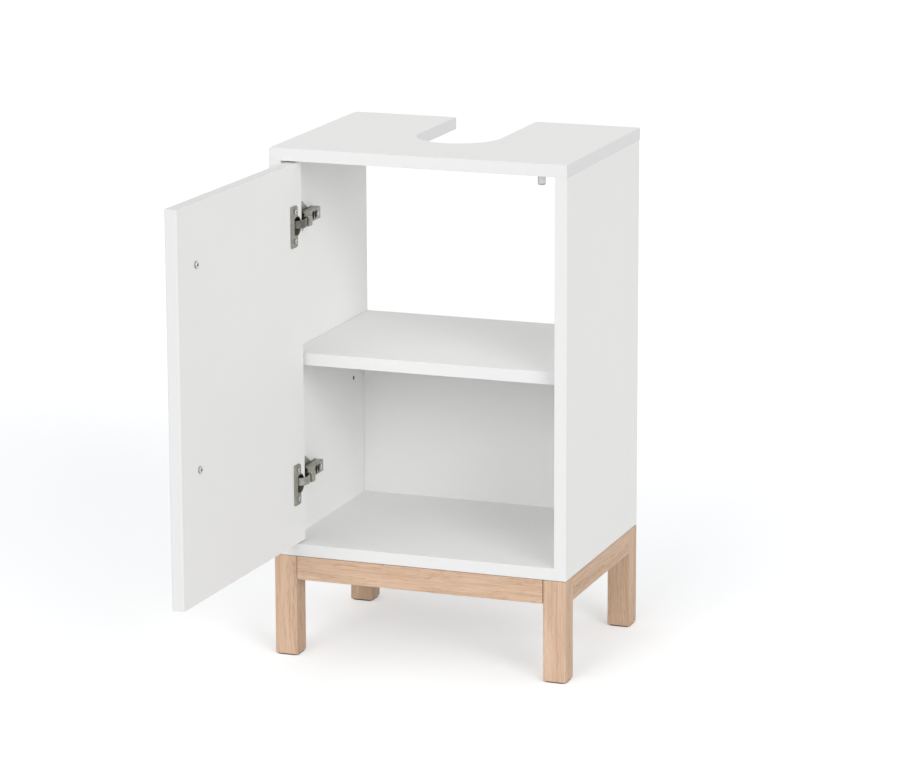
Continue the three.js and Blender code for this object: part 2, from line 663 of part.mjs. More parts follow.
// The outer link: a strap that leaves the arm's pin, leans out past the door's edge and turns into the cup.
function hingeLink(z) {
  const half = LINK_HEIGHT / 2;
  const t = LINK_THICKNESS / 2;
  const crest = armPivot.x + LINK_STANDOFF;
  const shape = new THREE.Shape();
  const knuckle = LINK_KNUCKLE_DIAMETER / 2;
  shape.moveTo(armPivot.x, armPivot.y + knuckle);
  shape.lineTo(armPivot.x + knuckle, armPivot.y);
  shape.lineTo(crest + t, LINK_CREST_INSET);
  shape.lineTo(crest + t, LINK_BEND_INSET);
  shape.quadraticCurveTo(crest + t, cupPivot.y - t, cupPivot.x, cupPivot.y - knuckle + LINK_TUCK);
  shape.lineTo(cupPivot.x, cupPivot.y + t);
  shape.quadraticCurveTo(crest - t, cupPivot.y + t, crest - t, LINK_BEND_INSET + t);
  shape.lineTo(crest - t, LINK_CREST_INSET);
  shape.lineTo(armPivot.x, armPivot.y - knuckle);
  shape.closePath();
  const strap = raised(shape, z - half, z + half);
  const eyes = [armPivot, cupPivot].map((pivot) => {
    return rod(LINK_KNUCKLE_DIAMETER, at(pivot.x, pivot.y, z - half), Z_AXIS, LINK_HEIGHT, PIN_SEGMENTS);
  });
  const bore = PIVOT_PIN_DIAMETER + 2 * PIVOT_PIN_CLEARANCE;
  const bores = [armPivot, cupPivot].map((pivot) => {
    const under = at(pivot.x, pivot.y, z - half - PAST_FACE);
    return rod(bore, under, Z_AXIS, LINK_HEIGHT + 2 * PAST_FACE, PIN_SEGMENTS);
  });
  return cut(join(strap, ...eyes), ...bores);
}

// The arm: a cranked channel on the side panel. Its nose holds the link's pin,
// and its rear is screwed to the plate.
const armFrontTop = armPivot.x + ARM_TOP_ABOVE_PIVOT;
const armRearTop = innerLeft + ARM_REAR_FROM_SIDE;

function armOutline(drop) {
  const shape = new THREE.Shape();
  shape.moveTo(armFrontTop - drop, armPivot.y - ARM_NOSE);
  shape.lineTo(armFrontTop - drop, ARM_CRANK_START);
  shape.lineTo(armRearTop - drop, ARM_CRANK_END);
  shape.lineTo(armRearTop - drop, ARM_REAR_END);
  shape.lineTo(armRearTop - ARM_CHEEK_DEPTH, ARM_REAR_END);
  shape.lineTo(armRearTop - ARM_CHEEK_DEPTH, ARM_CRANK_END);
  shape.lineTo(armFrontTop - ARM_CHEEK_DEPTH, ARM_CRANK_START - ARM_CRANK_LEAD);
  shape.lineTo(armFrontTop - ARM_CHEEK_DEPTH, armPivot.y - ARM_NOSE + ARM_NOSE_CHAMFER);
  shape.closePath();
  return shape;
}

// Turns a piece drawn as Y and Z, and raised by X, into that place.
function stoodUp(geometry) {
  return geometry.rotateY(Math.PI / 2).rotateX(Math.PI / 2);
}

// The channel's inside, open to the front, the rear and the side panel.
function armHollow() {
  const shape = new THREE.Shape();
  const far = PAST_FACE + ARM_CHEEK_DEPTH;
  shape.moveTo(armFrontTop - ARM_SHEET, armPivot.y - ARM_NOSE - PAST_FACE);
  shape.lineTo(armFrontTop - ARM_SHEET, ARM_CRANK_START - ARM_SHEET / 2);
  shape.lineTo(armRearTop - ARM_SHEET, ARM_CRANK_END - ARM_SHEET / 2);
  shape.lineTo(armRearTop - ARM_SHEET, ARM_REAR_END + PAST_FACE);
  shape.lineTo(armRearTop - far, ARM_REAR_END + PAST_FACE);
  shape.lineTo(armRearTop - far, armPivot.y - ARM_NOSE - PAST_FACE);
  shape.closePath();
  return shape;
}

// The arm narrows towards its nose: two wedges, drawn in Y and Z, come off its sides.
// They lie a sheet's thickness further in where they shape the channel's inside.
function noseWedges(z, inset) {
  const nose = ARM_NOSE_WIDTH / 2 - inset;
  const full = ARM_WIDTH / 2 - inset;
  const front = armPivot.y - ARM_NOSE - 2 * PAST_FACE;
  return [1, -1].map((side) => {
    const shape = new THREE.Shape();
    shape.moveTo(front, side * nose);
    shape.lineTo(ARM_CRANK_START, side * nose);
    shape.lineTo(ARM_CRANK_END, side * full);
    shape.lineTo(ARM_CRANK_END, side * (ARM_WIDTH / 2 + PAST_FACE));
    shape.lineTo(front, side * (ARM_WIDTH / 2 + PAST_FACE));
    shape.closePath();
    const wedge = raised(shape, innerLeft, armFrontTop + 2 * PAST_FACE);
    return stoodUp(wedge).translate(0, 0, z);
  });
}

// A curved slot in the arm's web beside the fixing screw.
function webSlot(z) {
  const shape = new THREE.Shape();
  const inner = FIXING_SCREW_HEAD / 2 + SLOT_FROM_HEAD;
  const outer = inner + SLOT_WIDTH;
  const reach = THREE.MathUtils.degToRad(SLOT_HALF_ANGLE);
  shape.absarc(0, 0, outer, Math.PI - reach, Math.PI + reach, false);
  shape.absarc(0, 0, inner, Math.PI + reach, Math.PI - reach, true);
  shape.closePath();
  return onArmWeb(shape, FIXING_SCREW_INSET, z);
}

// A keyhole: a round hole with a narrow slot below it.
function keyhole(z) {
  const shape = new THREE.Shape();
  const r = KEYHOLE_DIAMETER / 2;
  const w = KEYHOLE_SLOT / 2;
  const meet = Math.asin(w / r);
  shape.absarc(0, 0, r, -Math.PI / 2 + meet, Math.PI * 1.5 - meet, false);
  shape.lineTo(-w, -KEYHOLE_DROP);
  shape.lineTo(w, -KEYHOLE_DROP);
  shape.closePath();
  return onArmWeb(shape, KEYHOLE_INSET, z + KEYHOLE_DROP / 2);
}

// Carries a cutting outline, drawn in Y and Z, to the arm's rear web.
function onArmWeb(shape, y, z) {
  return stoodUp(raised(shape, -ARM_SHEET - PAST_FACE, PAST_FACE)).translate(armRearTop, y, z);
}

function hingeArm(z) {
  const half = ARM_WIDTH / 2;
  const inner = half - ARM_SHEET;
  const channel = raised(armOutline(0), z - half, z + half);
  const hollow = cut(raised(armHollow(), z - inner, z + inner), ...noseWedges(z, ARM_SHEET));
  const pinFoot = at(armPivot.x, armPivot.y, z - half - PAST_FACE);
  const pinBore = PIVOT_PIN_DIAMETER + 2 * HOLE_CLEARANCE;
  const pinHole = rod(pinBore, pinFoot, Z_AXIS, ARM_WIDTH + 2 * PAST_FACE, PIN_SEGMENTS);
  const under = armFrontTop - ARM_SHEET - PAST_FACE;
  const before = armPivot.y - ARM_NOSE - PAST_FACE;
  const windowEnd = armPivot.y + LINK_KNUCKLE_DIAMETER / 2 + FIT;
  const noseInner = ARM_NOSE_WIDTH / 2 - ARM_SHEET;
  const window = block(under, before, z - noseInner, armFrontTop + PAST_FACE, windowEnd, z + noseInner);
  const screwUnder = at(armRearTop - ARM_SHEET - PAST_FACE, FIXING_SCREW_INSET, z);
  const screwBore = FIXING_SCREW_DIAMETER + 2 * HOLE_CLEARANCE;
  const screwHole = rod(screwBore, screwUnder, X_AXIS, ARM_SHEET + 2 * PAST_FACE);
  const shaped = cut(channel, ...noseWedges(z, 0));
  return cut(shaped, hollow, pinHole, window, screwHole, keyhole(z), webSlot(z));
}

function armPin(z) {
  const foot = at(armPivot.x, armPivot.y, z - ARM_NOSE_WIDTH / 2);
  return rod(PIVOT_PIN_DIAMETER, foot, Z_AXIS, ARM_NOSE_WIDTH, PIN_SEGMENTS);
}

// The plate's outline in Y and Z: two wings for its screws, whose shoulders slope back to its tail.
function plateOutline() {
  const wing = PLATE_WING_HEIGHT / 2;
  const tail = ARM_WIDTH / 2;
  const upper = [
    [PLATE_WING_FRONT, wing - PLATE_CORNER],
    [PLATE_WING_FRONT + PLATE_CORNER, wing],
    [PLATE_WING_REAR, wing],
    [PLATE_SHOULDER_END, tail],
    [PLATE_REAR, tail],
  ];
  const lower = upper.map(([y, height]) => [y, -height]).reverse();
  return new THREE.Shape([...upper, ...lower].map(([y, height]) => new THREE.Vector2(y, height)));
}

// The mounting plate: a base with two wings for its screws, and a saddle that the arm sits on.
function mountingPlate(z) {
  const sheet = raised(plateOutline(), innerLeft, innerLeft + PLATE_BASE_THICKNESS);
  const base = stoodUp(sheet).translate(0, 0, z);
  const half = ARM_WIDTH / 2 - ARM_SHEET - FIT;
  const saddleFoot = innerLeft + PLATE_BASE_THICKNESS - FIT;
  const saddleTop = armRearTop - ARM_SHEET - FIT;
  const saddleFront = ARM_CRANK_END + FIT;
  const saddle = block(saddleFoot, saddleFront, z - half, saddleTop, PLATE_REAR - FIT, z + half);
  const screwEnd = at(armRearTop - FIXING_SCREW_LENGTH, FIXING_SCREW_INSET, z);
  const fixingBore = FIXING_SCREW_DIAMETER + 2 * HOLE_CLEARANCE;
  const fixingHole = rod(fixingBore, screwEnd, X_AXIS, FIXING_SCREW_LENGTH + PAST_FACE);
  const wingHoles = plateScrewSeats(z).map((seat) => {
    const under = at(innerLeft - PAST_FACE, seat.y, seat.z);
    const through = PLATE_BASE_THICKNESS + 2 * PAST_FACE;
    return rod(PLATE_SCREW_DIAMETER + 2 * HOLE_CLEARANCE, under, X_AXIS, through);
  });
  return cut(join(base, saddle), fixingHole, ...wingHoles);
}

function plateScrewSeats(z) {
  const x = innerLeft + PLATE_BASE_THICKNESS + FIT;
  const half = PLATE_SCREW_SPACING / 2;
  return [half, -half].map((dz) => at(x, PLATE_SCREW_INSET, z + dz));
}

function plateScrew(seat) {
  return screw(PLATE_SCREW_DIAMETER, PLATE_SCREW_LENGTH, SMALL_SCREW_HEAD, SMALL_HEAD_HEIGHT, seat, X_AXIS);
}

function plateScrewHole(seat) {
  const mouth = seat.clone().addScaledVector(X_AXIS, PAST_FACE);
  const length = PLATE_SCREW_LENGTH + PAST_FACE + FIT;
  return rod(PLATE_SCREW_DIAMETER + 2 * HOLE_CLEARANCE, mouth, opposite(X_AXIS), length);
}

function fixingScrew(z) {
  const seat = at(armRearTop + FIT, FIXING_SCREW_INSET, z);
  const length = FIXING_SCREW_LENGTH;
  return screw(FIXING_SCREW_DIAMETER, length, FIXING_SCREW_HEAD, SMALL_HEAD_HEIGHT, seat, X_AXIS);
}

// Assembly
const cabinet = new THREE.Group();
piece(cabinet, 'top_panel', topPanel(), WHITE_BOARD);
piece(cabinet, 'side_panel_left', sidePanel('left'), WHITE_BOARD);
piece(cabinet, 'side_panel_right', sidePanel('right'), WHITE_BOARD);
piece(cabinet, 'bottom_panel', bottomPanel(), WHITE_BOARD);
piece(cabinet, 'shelf', shelfBoard(), WHITE_BOARD);
piece(cabinet, 'lower_back_panel', lowerBackPanel(), WHITE_BOARD);
dowels.forEach((place) => piece(cabinet, place.name, dowel(place), BEECH_DOWEL));
pins.forEach((place) => piece(cabinet, place.name, shelfPin(place), ZINC));
piece(cabinet, 'door_stop', doorStop(), CLEAR_PLASTIC);
for (const [corner, place] of Object.entries(legCorners)) {
  piece(cabinet, `leg_${corner}`, leg(place), OAK);
  piece(cabinet, `glide_${corner}`, glide(place), FELT);
}
apronFaces.forEach((face) => piece(cabinet, `apron_${face}`, apronPiece(face), OAK));
baseScrews.forEach((place) => piece(cabinet, `base_screw_${place.side}`, baseScrew(place), ZINC));

// The links turn on the arms' pins, and the door turns on the cups' pins at the links' other end.
// A group that turns about a pivot holds another that takes the pivot's place back off its pieces.
const swing = (degrees) => -THREE.MathUtils.degToRad(degrees);
const linkTurn = new THREE.Group();
linkTurn.position.set(armPivot.x, armPivot.y, 0);
linkTurn.rotation.z = swing(LINK_SWING);
const links = new THREE.Group();
links.position.set(-armPivot.x, -armPivot.y, 0);
const doorTurn = new THREE.Group();
doorTurn.position.set(cupPivot.x, cupPivot.y, 0);
doorTurn.rotation.z = swing(DOOR_OPEN_ANGLE - LINK_SWING);
const door = new THREE.Group();
door.position.set(-cupPivot.x, -cupPivot.y, 0);
cabinet.add(linkTurn);
linkTurn.add(links);
links.add(doorTurn);
doorTurn.add(door);

piece(door, 'door_panel', doorPanel(), WHITE_BOARD);
piece(door, 'grip_strip', gripStrip(), OAK);
gripScrews.forEach((place) => piece(door, place.name, gripScrew(place), ZINC));
for (const [level, z] of Object.entries(hingeHeights)) {
  piece(cabinet, `${level}_hinge_plate`, mountingPlate(z), NICKEL_STEEL);
  plateScrewSeats(z).forEach((seat, i) => {
    piece(cabinet, `${level}_hinge_plate_screw_${i + 1}`, plateScrew(seat), ZINC);
  });
  piece(cabinet, `${level}_hinge_arm`, hingeArm(z), NICKEL_STEEL);
  piece(cabinet, `${level}_hinge_arm_pin`, armPin(z), PIN_STEEL);
  piece(cabinet, `${level}_hinge_fixing_screw`, fixingScrew(z), ZINC);
  piece(links, `${level}_hinge_link`, hingeLink(z), NICKEL_STEEL);
  piece(door, `${level}_hinge_cup`, hingeCup(z), NICKEL_STEEL);
  piece(door, `${level}_hinge_cup_pin`, cupPin(z), PIN_STEEL);
  cupScrewSeats(z).forEach((seat, i) => {
    piece(door, `${level}_hinge_cup_screw_${i + 1}`, cupScrew(seat), ZINC);
  });
}

// The origin is on the floor, under the middle of the whole object with its door open.
const bounds = new THREE.Box3().setFromObject(cabinet);
cabinet.position.set(-(bounds.min.x + bounds.max.x) / 2, -(bounds.min.y + bounds.max.y) / 2, -bounds.min.z);

export default cabinet;
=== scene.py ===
import json
import math

import bmesh
import bpy
from mathutils import Matrix, Vector


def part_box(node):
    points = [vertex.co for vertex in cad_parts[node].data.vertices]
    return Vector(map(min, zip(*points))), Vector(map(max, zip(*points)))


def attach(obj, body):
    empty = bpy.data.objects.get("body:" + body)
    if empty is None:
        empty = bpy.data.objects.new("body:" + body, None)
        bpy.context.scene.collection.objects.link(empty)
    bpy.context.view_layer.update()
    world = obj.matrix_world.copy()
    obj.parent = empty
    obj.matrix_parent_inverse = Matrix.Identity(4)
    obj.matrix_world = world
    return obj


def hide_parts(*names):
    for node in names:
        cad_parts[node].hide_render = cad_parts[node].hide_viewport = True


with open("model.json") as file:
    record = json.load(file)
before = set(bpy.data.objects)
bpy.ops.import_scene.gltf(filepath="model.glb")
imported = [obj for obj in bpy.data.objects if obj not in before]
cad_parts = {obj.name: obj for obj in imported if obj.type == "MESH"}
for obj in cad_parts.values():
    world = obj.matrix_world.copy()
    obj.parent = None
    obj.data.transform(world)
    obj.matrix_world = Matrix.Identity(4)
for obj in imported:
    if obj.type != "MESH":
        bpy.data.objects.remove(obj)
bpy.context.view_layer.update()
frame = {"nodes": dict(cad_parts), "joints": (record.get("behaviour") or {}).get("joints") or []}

# Pieces are drawn in millimetres in the cabinet's own frame, with the door closed:
# X runs right from the left side's outer face, Y back from the front edge, Z up from the floor.
MM = 0.001

# The two pivots of the hinges in plan, and how far their links and the door have swung at rest
ARM_PIVOT = (36.7742, 38.0593)
CUP_PIVOT = (31.0, 7.5)
LINK_SWING = math.radians(7)
DOOR_SWING = math.radians(92)

pivots = {joint["name"]: Vector(joint["pos_m"]) for joint in frame["joints"]}


def swung(pivot_name, pivot, angle):
    """Carries pieces drawn closed to their place in the open door, and from millimetres to metres."""
    stand = Matrix.Translation((pivots[pivot_name].x, pivots[pivot_name].y, 0))
    turn = Matrix.Rotation(-angle, 4, "Z")
    return stand @ turn @ Matrix.Scale(MM, 4) @ Matrix.Translation((-pivot[0], -pivot[1], 0))


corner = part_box("side_panel_left")[0]
PLACES = {
    "carcass": Matrix.Translation((corner.x, corner.y, 0)) @ Matrix.Scale(MM, 4),
    "hinge_links": swung("hinge_link_turn", ARM_PIVOT, LINK_SWING),
    "door": swung("door_turn", CUP_PIVOT, DOOR_SWING),
}


# ---------------------------------------------------------------- meshes

# Points closer than this are one, and faces that meet flatter than this are merged.
SAME_POINT = 0.002
FLAT_WITHIN = math.radians(0.6)
ON_AXIS = 1e-6


def node_mesh(node, body):
    """A fresh mesh with the outline of a frame node, in the cabinet's frame, its flat faces merged."""
    shape = bmesh.new()
    shape.from_mesh(frame["nodes"][node].data)
    bmesh.ops.transform(shape, matrix=PLACES[body].inverted(), verts=shape.verts)
    bmesh.ops.remove_doubles(shape, verts=shape.verts, dist=SAME_POINT)
    bmesh.ops.dissolve_limit(shape, angle_limit=FLAT_WITHIN, verts=shape.verts, edges=shape.edges)
    return shape


def node_box(node):
    """The low and the high corner of a carcass node, in the cabinet's frame."""
    return [PLACES["carcass"].inverted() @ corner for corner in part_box(node)]


def skinned(shape, rings):
    """Closes a stack of rings into a solid. A ring is one point on the axis, or as many as the others."""
    count = max(len(ring) for ring in rings)
    for low, high in zip(rings, rings[1:]):
        for k in range(count):
            after = (k + 1) % count
            if len(low) == 1:
                shape.faces.new((low[0], high[after], high[k]))
            elif len(high) == 1:
                shape.faces.new((low[k], low[after], high[0]))
            else:
                shape.faces.new((low[k], low[after], high[after], high[k]))
    if len(rings[0]) > 1:
        shape.faces.new(list(reversed(rings[0])))
    if len(rings[-1]) > 1:
        shape.faces.new(rings[-1])
    bmesh.ops.recalc_face_normals(shape, faces=shape.faces)
    return shape


def lathe(profile, segments):
    """A closed turned solid about Z; the profile is a list of (radius, height) from bottom to top."""
    shape = bmesh.new()
    turn = [2 * math.pi * k / segments for k in range(segments)]
    rings = []
    for radius, height in profile:
        if radius < ON_AXIS:
            rings.append([shape.verts.new((0, 0, height))])
        else:
            rings.append([shape.verts.new((radius * math.cos(a), radius * math.sin(a), height)) for a in turn])
    return skinned(shape, rings)


def prism(outline, low, high):
    """A flat outline in X and Y raised between two heights."""
    shape = bmesh.new()
    rings = [[shape.verts.new((x, y, height)) for x, y in outline] for height in (low, high)]
    return skinned(shape, rings)


def bar(low, high):
    """A block between two corners, for cutting tools and saddles."""
    (x0, y0, z0), (x1, y1, z1) = low, high
    return prism([(x0, y0), (x1, y0), (x1, y1), (x0, y1)], z0, z1)


def filleted(points, steps=6):
    """An outline with rounded corners; each point is (across, up, radius)."""
    outline = []
    for k, (across, up, radius) in enumerate(points):
        corner = Vector((across, up))
        if radius <= 0:
            outline.append((across, up))
            continue
        before = (Vector(points[k - 1][:2]) - corner).normalized()
        after = (Vector(points[(k + 1) % len(points)][:2]) - corner).normalized()
        half = before.angle(after) / 2
        centre = corner + (before + after).normalized() * radius / math.sin(half)
        first = corner + before * radius / math.tan(half) - centre
        last = corner + after * radius / math.tan(half) - centre
        start = math.atan2(first.y, first.x)
        sweep = math.remainder(math.atan2(last.y, last.x) - start, 2 * math.pi)
        for step in range(steps + 1):
            angle = start + sweep * step / steps
            outline.append((centre.x + radius * math.cos(angle), centre.y + radius * math.sin(angle)))
    return outline


def curved(start, bend, end, steps=14):
    """Points on a curve that leaves its start towards the bend and reaches its end from there."""
    points = []
    for step in range(steps + 1):
        share = step / steps
        parts = ((1 - share) ** 2, 2 * share * (1 - share), share ** 2)
        points.append(tuple(
            sum(part * point[axis] for part, point in zip(parts, (start, bend, end))) for axis in (0, 1)
        ))
    return points


def arc(centre, radius, first, last, steps=12):
    """Points on a circle between two angles in degrees."""
    turns = [math.radians(first + (last - first) * step / steps) for step in range(steps + 1)]
    return [(centre[0] + radius * math.cos(turn), centre[1] + radius * math.sin(turn)) for turn in turns]


def upright(shape):
    """Turns a shape drawn in Y and Z, and raised along X, into that place."""
    return moved(shape, Matrix(((0, 0, 1, 0), (1, 0, 0, 0), (0, 1, 0, 0), (0, 0, 0, 1))))


def facing_in(shape):
    """Turns a shape drawn in X and downwards, and raised from the door's face, into that place."""
    return moved(shape, Matrix(((1, 0, 0, 0), (0, 0, 1, 0), (0, -1, 0, 0), (0, 0, 0, 1))))


def stood(shape, seat, direction):
    """Stands a shape that was drawn along +Z on a seat, pointing along a direction."""
    return moved(shape, Matrix.Translation(seat) @ turned_to(direction))


def turned_to(direction):
    """The turn that takes +Z to a direction."""
    return Vector((0, 0, 1)).rotation_difference(Vector(direction)).to_matrix().to_4x4()


def rod(radius, length, start, direction, segments=32):
    """A round rod from its start along a direction, for bores and eyes."""
    return stood(lathe([(0, 0), (radius, 0), (radius, length), (0, length)], segments), start, direction)


def lifted(shape, height):
    """Lifts a shape that was drawn about height 0."""
    return moved(shape, Matrix.Translation((0, 0, height)))


def moved(shape, matrix):
    """Moves all of a shape's points by a matrix."""
    bmesh.ops.transform(shape, matrix=matrix, verts=shape.verts)
    return shape


def temporary(shape, name):
    """A throwaway object that carries a shape while modifiers work on it."""
    mesh = bpy.data.meshes.new(name)
    shape.to_mesh(mesh)
    shape.free()
    thing = bpy.data.objects.new(name, mesh)
    bpy.context.scene.collection.objects.link(thing)
    return thing


def settled(thing):
    """The thing's mesh with its modifiers applied, as a new bmesh; the thing itself is removed."""
    graph = bpy.context.evaluated_depsgraph_get()
    graph.update()
    mesh = bpy.data.meshes.new_from_object(thing.evaluated_get(graph))
    shape = bmesh.new()
    shape.from_mesh(mesh)
    source = thing.data
    bpy.data.objects.remove(thing)
    bpy.data.meshes.remove(source)
    bpy.data.meshes.remove(mesh)
    return shape


def combined(shape, tools, operation):
    """Cuts the tools out of the shape, or joins them to it."""
    body = temporary(shape, "work_body")
    helpers = [temporary(tool, f"work_tool_{k}") for k, tool in enumerate(tools)]
    for helper in helpers:
        step = body.modifiers.new("step", "BOOLEAN")
        step.operation = operation
        step.solver = "EXACT"
        step.object = helper
    result = settled(body)
    for helper in helpers:
        mesh = helper.data
        bpy.data.objects.remove(helper)
        bpy.data.meshes.remove(mesh)
    return result


def eased(shape, width, segments=2, angle=40):
    """Rounds the edges that are sharper than the angle."""
    body = temporary(shape, "work_eased")
    step = body.modifiers.new("ease", "BEVEL")
    step.width = width
    step.segments = segments
    step.limit_method = "ANGLE"
    step.angle_limit = math.radians(angle)
    step.use_clamp_overlap = True
    step.loop_slide = True
    return settled(body)


# ---------------------------------------------------------------- pieces

# For each grain direction, the axes with the one along the grain first, as the wood patterns take them
GRAIN_ORDER = {"x": (0, 1, 2), "y": (1, 2, 0), "z": (2, 0, 1)}
# How far each next number moves a piece through the shared patterns, so that no two look alike
PATTERN_STEP = (0.731, 0.417, 0.293)
# A board's face is one of its two broad ones where its normal points along the thin axis by this much.
BROAD = 0.9
SMOOTH_UNDER = math.radians(32)
FACE_WEIGHT = 80


def add_piece(name, shape, body, slot, node, grain="z", number=0, thin=None, shade=None):
    """Puts a drawn shape in the scene as the one piece that stands for a frame node.

    A board gives its thin axis, and faces off its broad sides become edge strip. A shade function
    tells for each face's centre how much painted shade it gets, from 0 to 1; in a board's bores
    that is the raw core's colour, darkened as painted shade.
    """
    own = [tuple(vert.co[axis] * MM for axis in GRAIN_ORDER[grain]) for vert in shape.verts]
    shift = [number * step for step in PATTERN_STEP]
    on_edge = [0.0 if thin is None or abs(face.normal[thin]) > BROAD else 1.0 for face in shape.faces]
    depths = [shade(face.calc_center_median()) if shade else 0.0 for face in shape.faces]
    mesh = bpy.data.meshes.new(name)
    moved(shape, PLACES[body]).to_mesh(mesh)
    shape.free()
    place = mesh.attributes.new("piece_place", "FLOAT_VECTOR", "POINT")
    place.data.foreach_set("vector", [value + shift[axis] for point in own for axis, value in enumerate(point)])
    if thin is not None:
        mesh.attributes.new("edge_strip", "FLOAT", "FACE").data.foreach_set("value", on_edge)
    if shade:
        mesh.attributes.new("inner_shade", "FLOAT", "FACE").data.foreach_set("value", depths)
    mesh.materials.append(FINISHES[slot])
    for polygon in mesh.polygons:
        polygon.use_smooth = True
    mesh.set_sharp_from_angle(angle=SMOOTH_UNDER)
    piece = bpy.data.objects.new(name, mesh)
    bpy.context.scene.collection.objects.link(piece)
    weigh = piece.modifiers.new("even_shading", "WEIGHTED_NORMAL")
    weigh.keep_sharp = True
    weigh.weight = FACE_WEIGHT
    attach(piece, body)
    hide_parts(node)


# ---------------------------------------------------------------- node helpers

def feed(tree, socket, value):
    """Links another node's output to a socket, or sets a plain value on it."""
    if isinstance(value, bpy.types.NodeSocket):
        tree.links.new(value, socket)
    else:
        socket.default_value = value


def add_node(tree, kind, inputs=None, **settings):
    """A new node with its settings, and its inputs fed by name or number."""
    made = tree.nodes.new(kind)
    for key, value in settings.items():
        setattr(made, key, value)
    for key, value in (inputs or {}).items():
        feed(tree, made.inputs[key], value)
    return made


def new_group(name, inputs, outputs):
    """A shader node group; its outputs are all plain numbers."""
    tree = bpy.data.node_groups.new(name, "ShaderNodeTree")
    for label, kind, default in inputs:
        socket = tree.interface.new_socket(name=label, in_out="INPUT", socket_type=kind)
        if default is not None:
            socket.default_value = default
    for label in outputs:
        tree.interface.new_socket(name=label, in_out="OUTPUT", socket_type="NodeSocketFloat")
    return tree, tree.nodes.new("NodeGroupInput"), tree.nodes.new("NodeGroupOutput")


def use_group(tree, group, inputs):
    """A shared group placed in a material with its own values."""
    return add_node(tree, "ShaderNodeGroup", inputs, node_tree=group)


def mask_node(tree, name):
    """What add_piece wrote on each face under this name; 0 on pieces that don't have it."""
    return add_node(tree, "ShaderNodeAttribute", attribute_name=name).outputs["Fac"]


def colour(red, green, blue):
    """A colour given as it looks on screen, 0 to 255, in the linear values that a shader takes."""
    def linear(level):
        share = level / 255
        return share / 12.92 if share <= 0.04045 else ((share + 0.055) / 1.055) ** 2.4
    return (linear(red), linear(green), linear(blue), 1.0)


def new_material(name, roughness, metallic=0.0, **settings):
    """A material, its node tree and shader, and the piece's own place as a vector."""
    material = bpy.data.materials.new(name)
    material.use_nodes = True
    tree = material.node_tree
    shader = tree.nodes["Principled BSDF"]
    shader.inputs["Roughness"].default_value = roughness
    shader.inputs["Metallic"].default_value = metallic
    for key, value in settings.items():
        shader.inputs[key.replace("_", " ")].default_value = value
    place = add_node(tree, "ShaderNodeAttribute", attribute_name="piece_place")
    return material, tree, shader, place.outputs["Vector"]


def math_node(tree, operation, first, second, clamp=False):
    made = add_node(tree, "ShaderNodeMath", {0: first, 1: second}, operation=operation, use_clamp=clamp)
    return made.outputs[0]


def noise_node(tree, place, scale, detail, roughness, stretch):
    """Noise drawn out along the axes whose stretch is under 1."""
    mapping = add_node(tree, "ShaderNodeMapping", {"Vector": place, "Scale": stretch})
    wanted = {"Vector": mapping.outputs[0], "Scale": scale, "Detail": detail, "Roughness": roughness}
    return add_node(tree, "ShaderNodeTexNoise", wanted).outputs["Fac"]


# A Mix node's sockets for colours: its share, its two colours and its result
MIX_SHARE, MIX_FIRST, MIX_SECOND, MIX_RESULT = 0, 6, 7, 2


def blended(tree, share, first, second):
    """The first colour where the share is 0, the second where it is 1."""
    wanted = {MIX_SHARE: share, MIX_FIRST: first, MIX_SECOND: second}
    return add_node(tree, "ShaderNodeMix", wanted, data_type="RGBA").outputs[MIX_RESULT]


def ranged(tree, value, low, high, to_low, to_high):
    """Stretches a value's range to another one, and stops at its ends."""
    wanted = {"Value": value, "From Min": low, "From Max": high, "To Min": to_low, "To Max": to_high}
    return add_node(tree, "ShaderNodeMapRange", wanted).outputs[0]


def bumped(tree, shader, height, strength, distance):
    """Raises the surface by a height, the distance in metres."""
    bump = add_node(tree, "ShaderNodeBump", {"Height": height, "Strength": strength, "Distance": distance})
    tree.links.new(bump.outputs[0], shader.inputs["Normal"])


# ---------------------------------------------------------------- shared surface groups

# Noise stays mostly between these two values.
NOISE_LOW, NOISE_HIGH = 0.3, 0.7


def mottle_group():
    """Soft cloudy variation and a fine grain, for boards, plastics and metals."""
    tree, source, result = new_group(
        "surface_mottle",
        [
            ("Place", "NodeSocketVector", None),
            ("Cloud Scale", "NodeSocketFloat", 8.0),
            ("Grain Scale", "NodeSocketFloat", 900.0),
        ],
        ["Cloud", "Grain"],
    )
    for label in ("Cloud", "Grain"):
        wanted = {"Vector": source.outputs["Place"], "Scale": source.outputs[f"{label} Scale"], "Detail": 2.0}
        tree.links.new(add_node(tree, "ShaderNodeTexNoise", wanted).outputs["Fac"], result.inputs[label])
    return tree


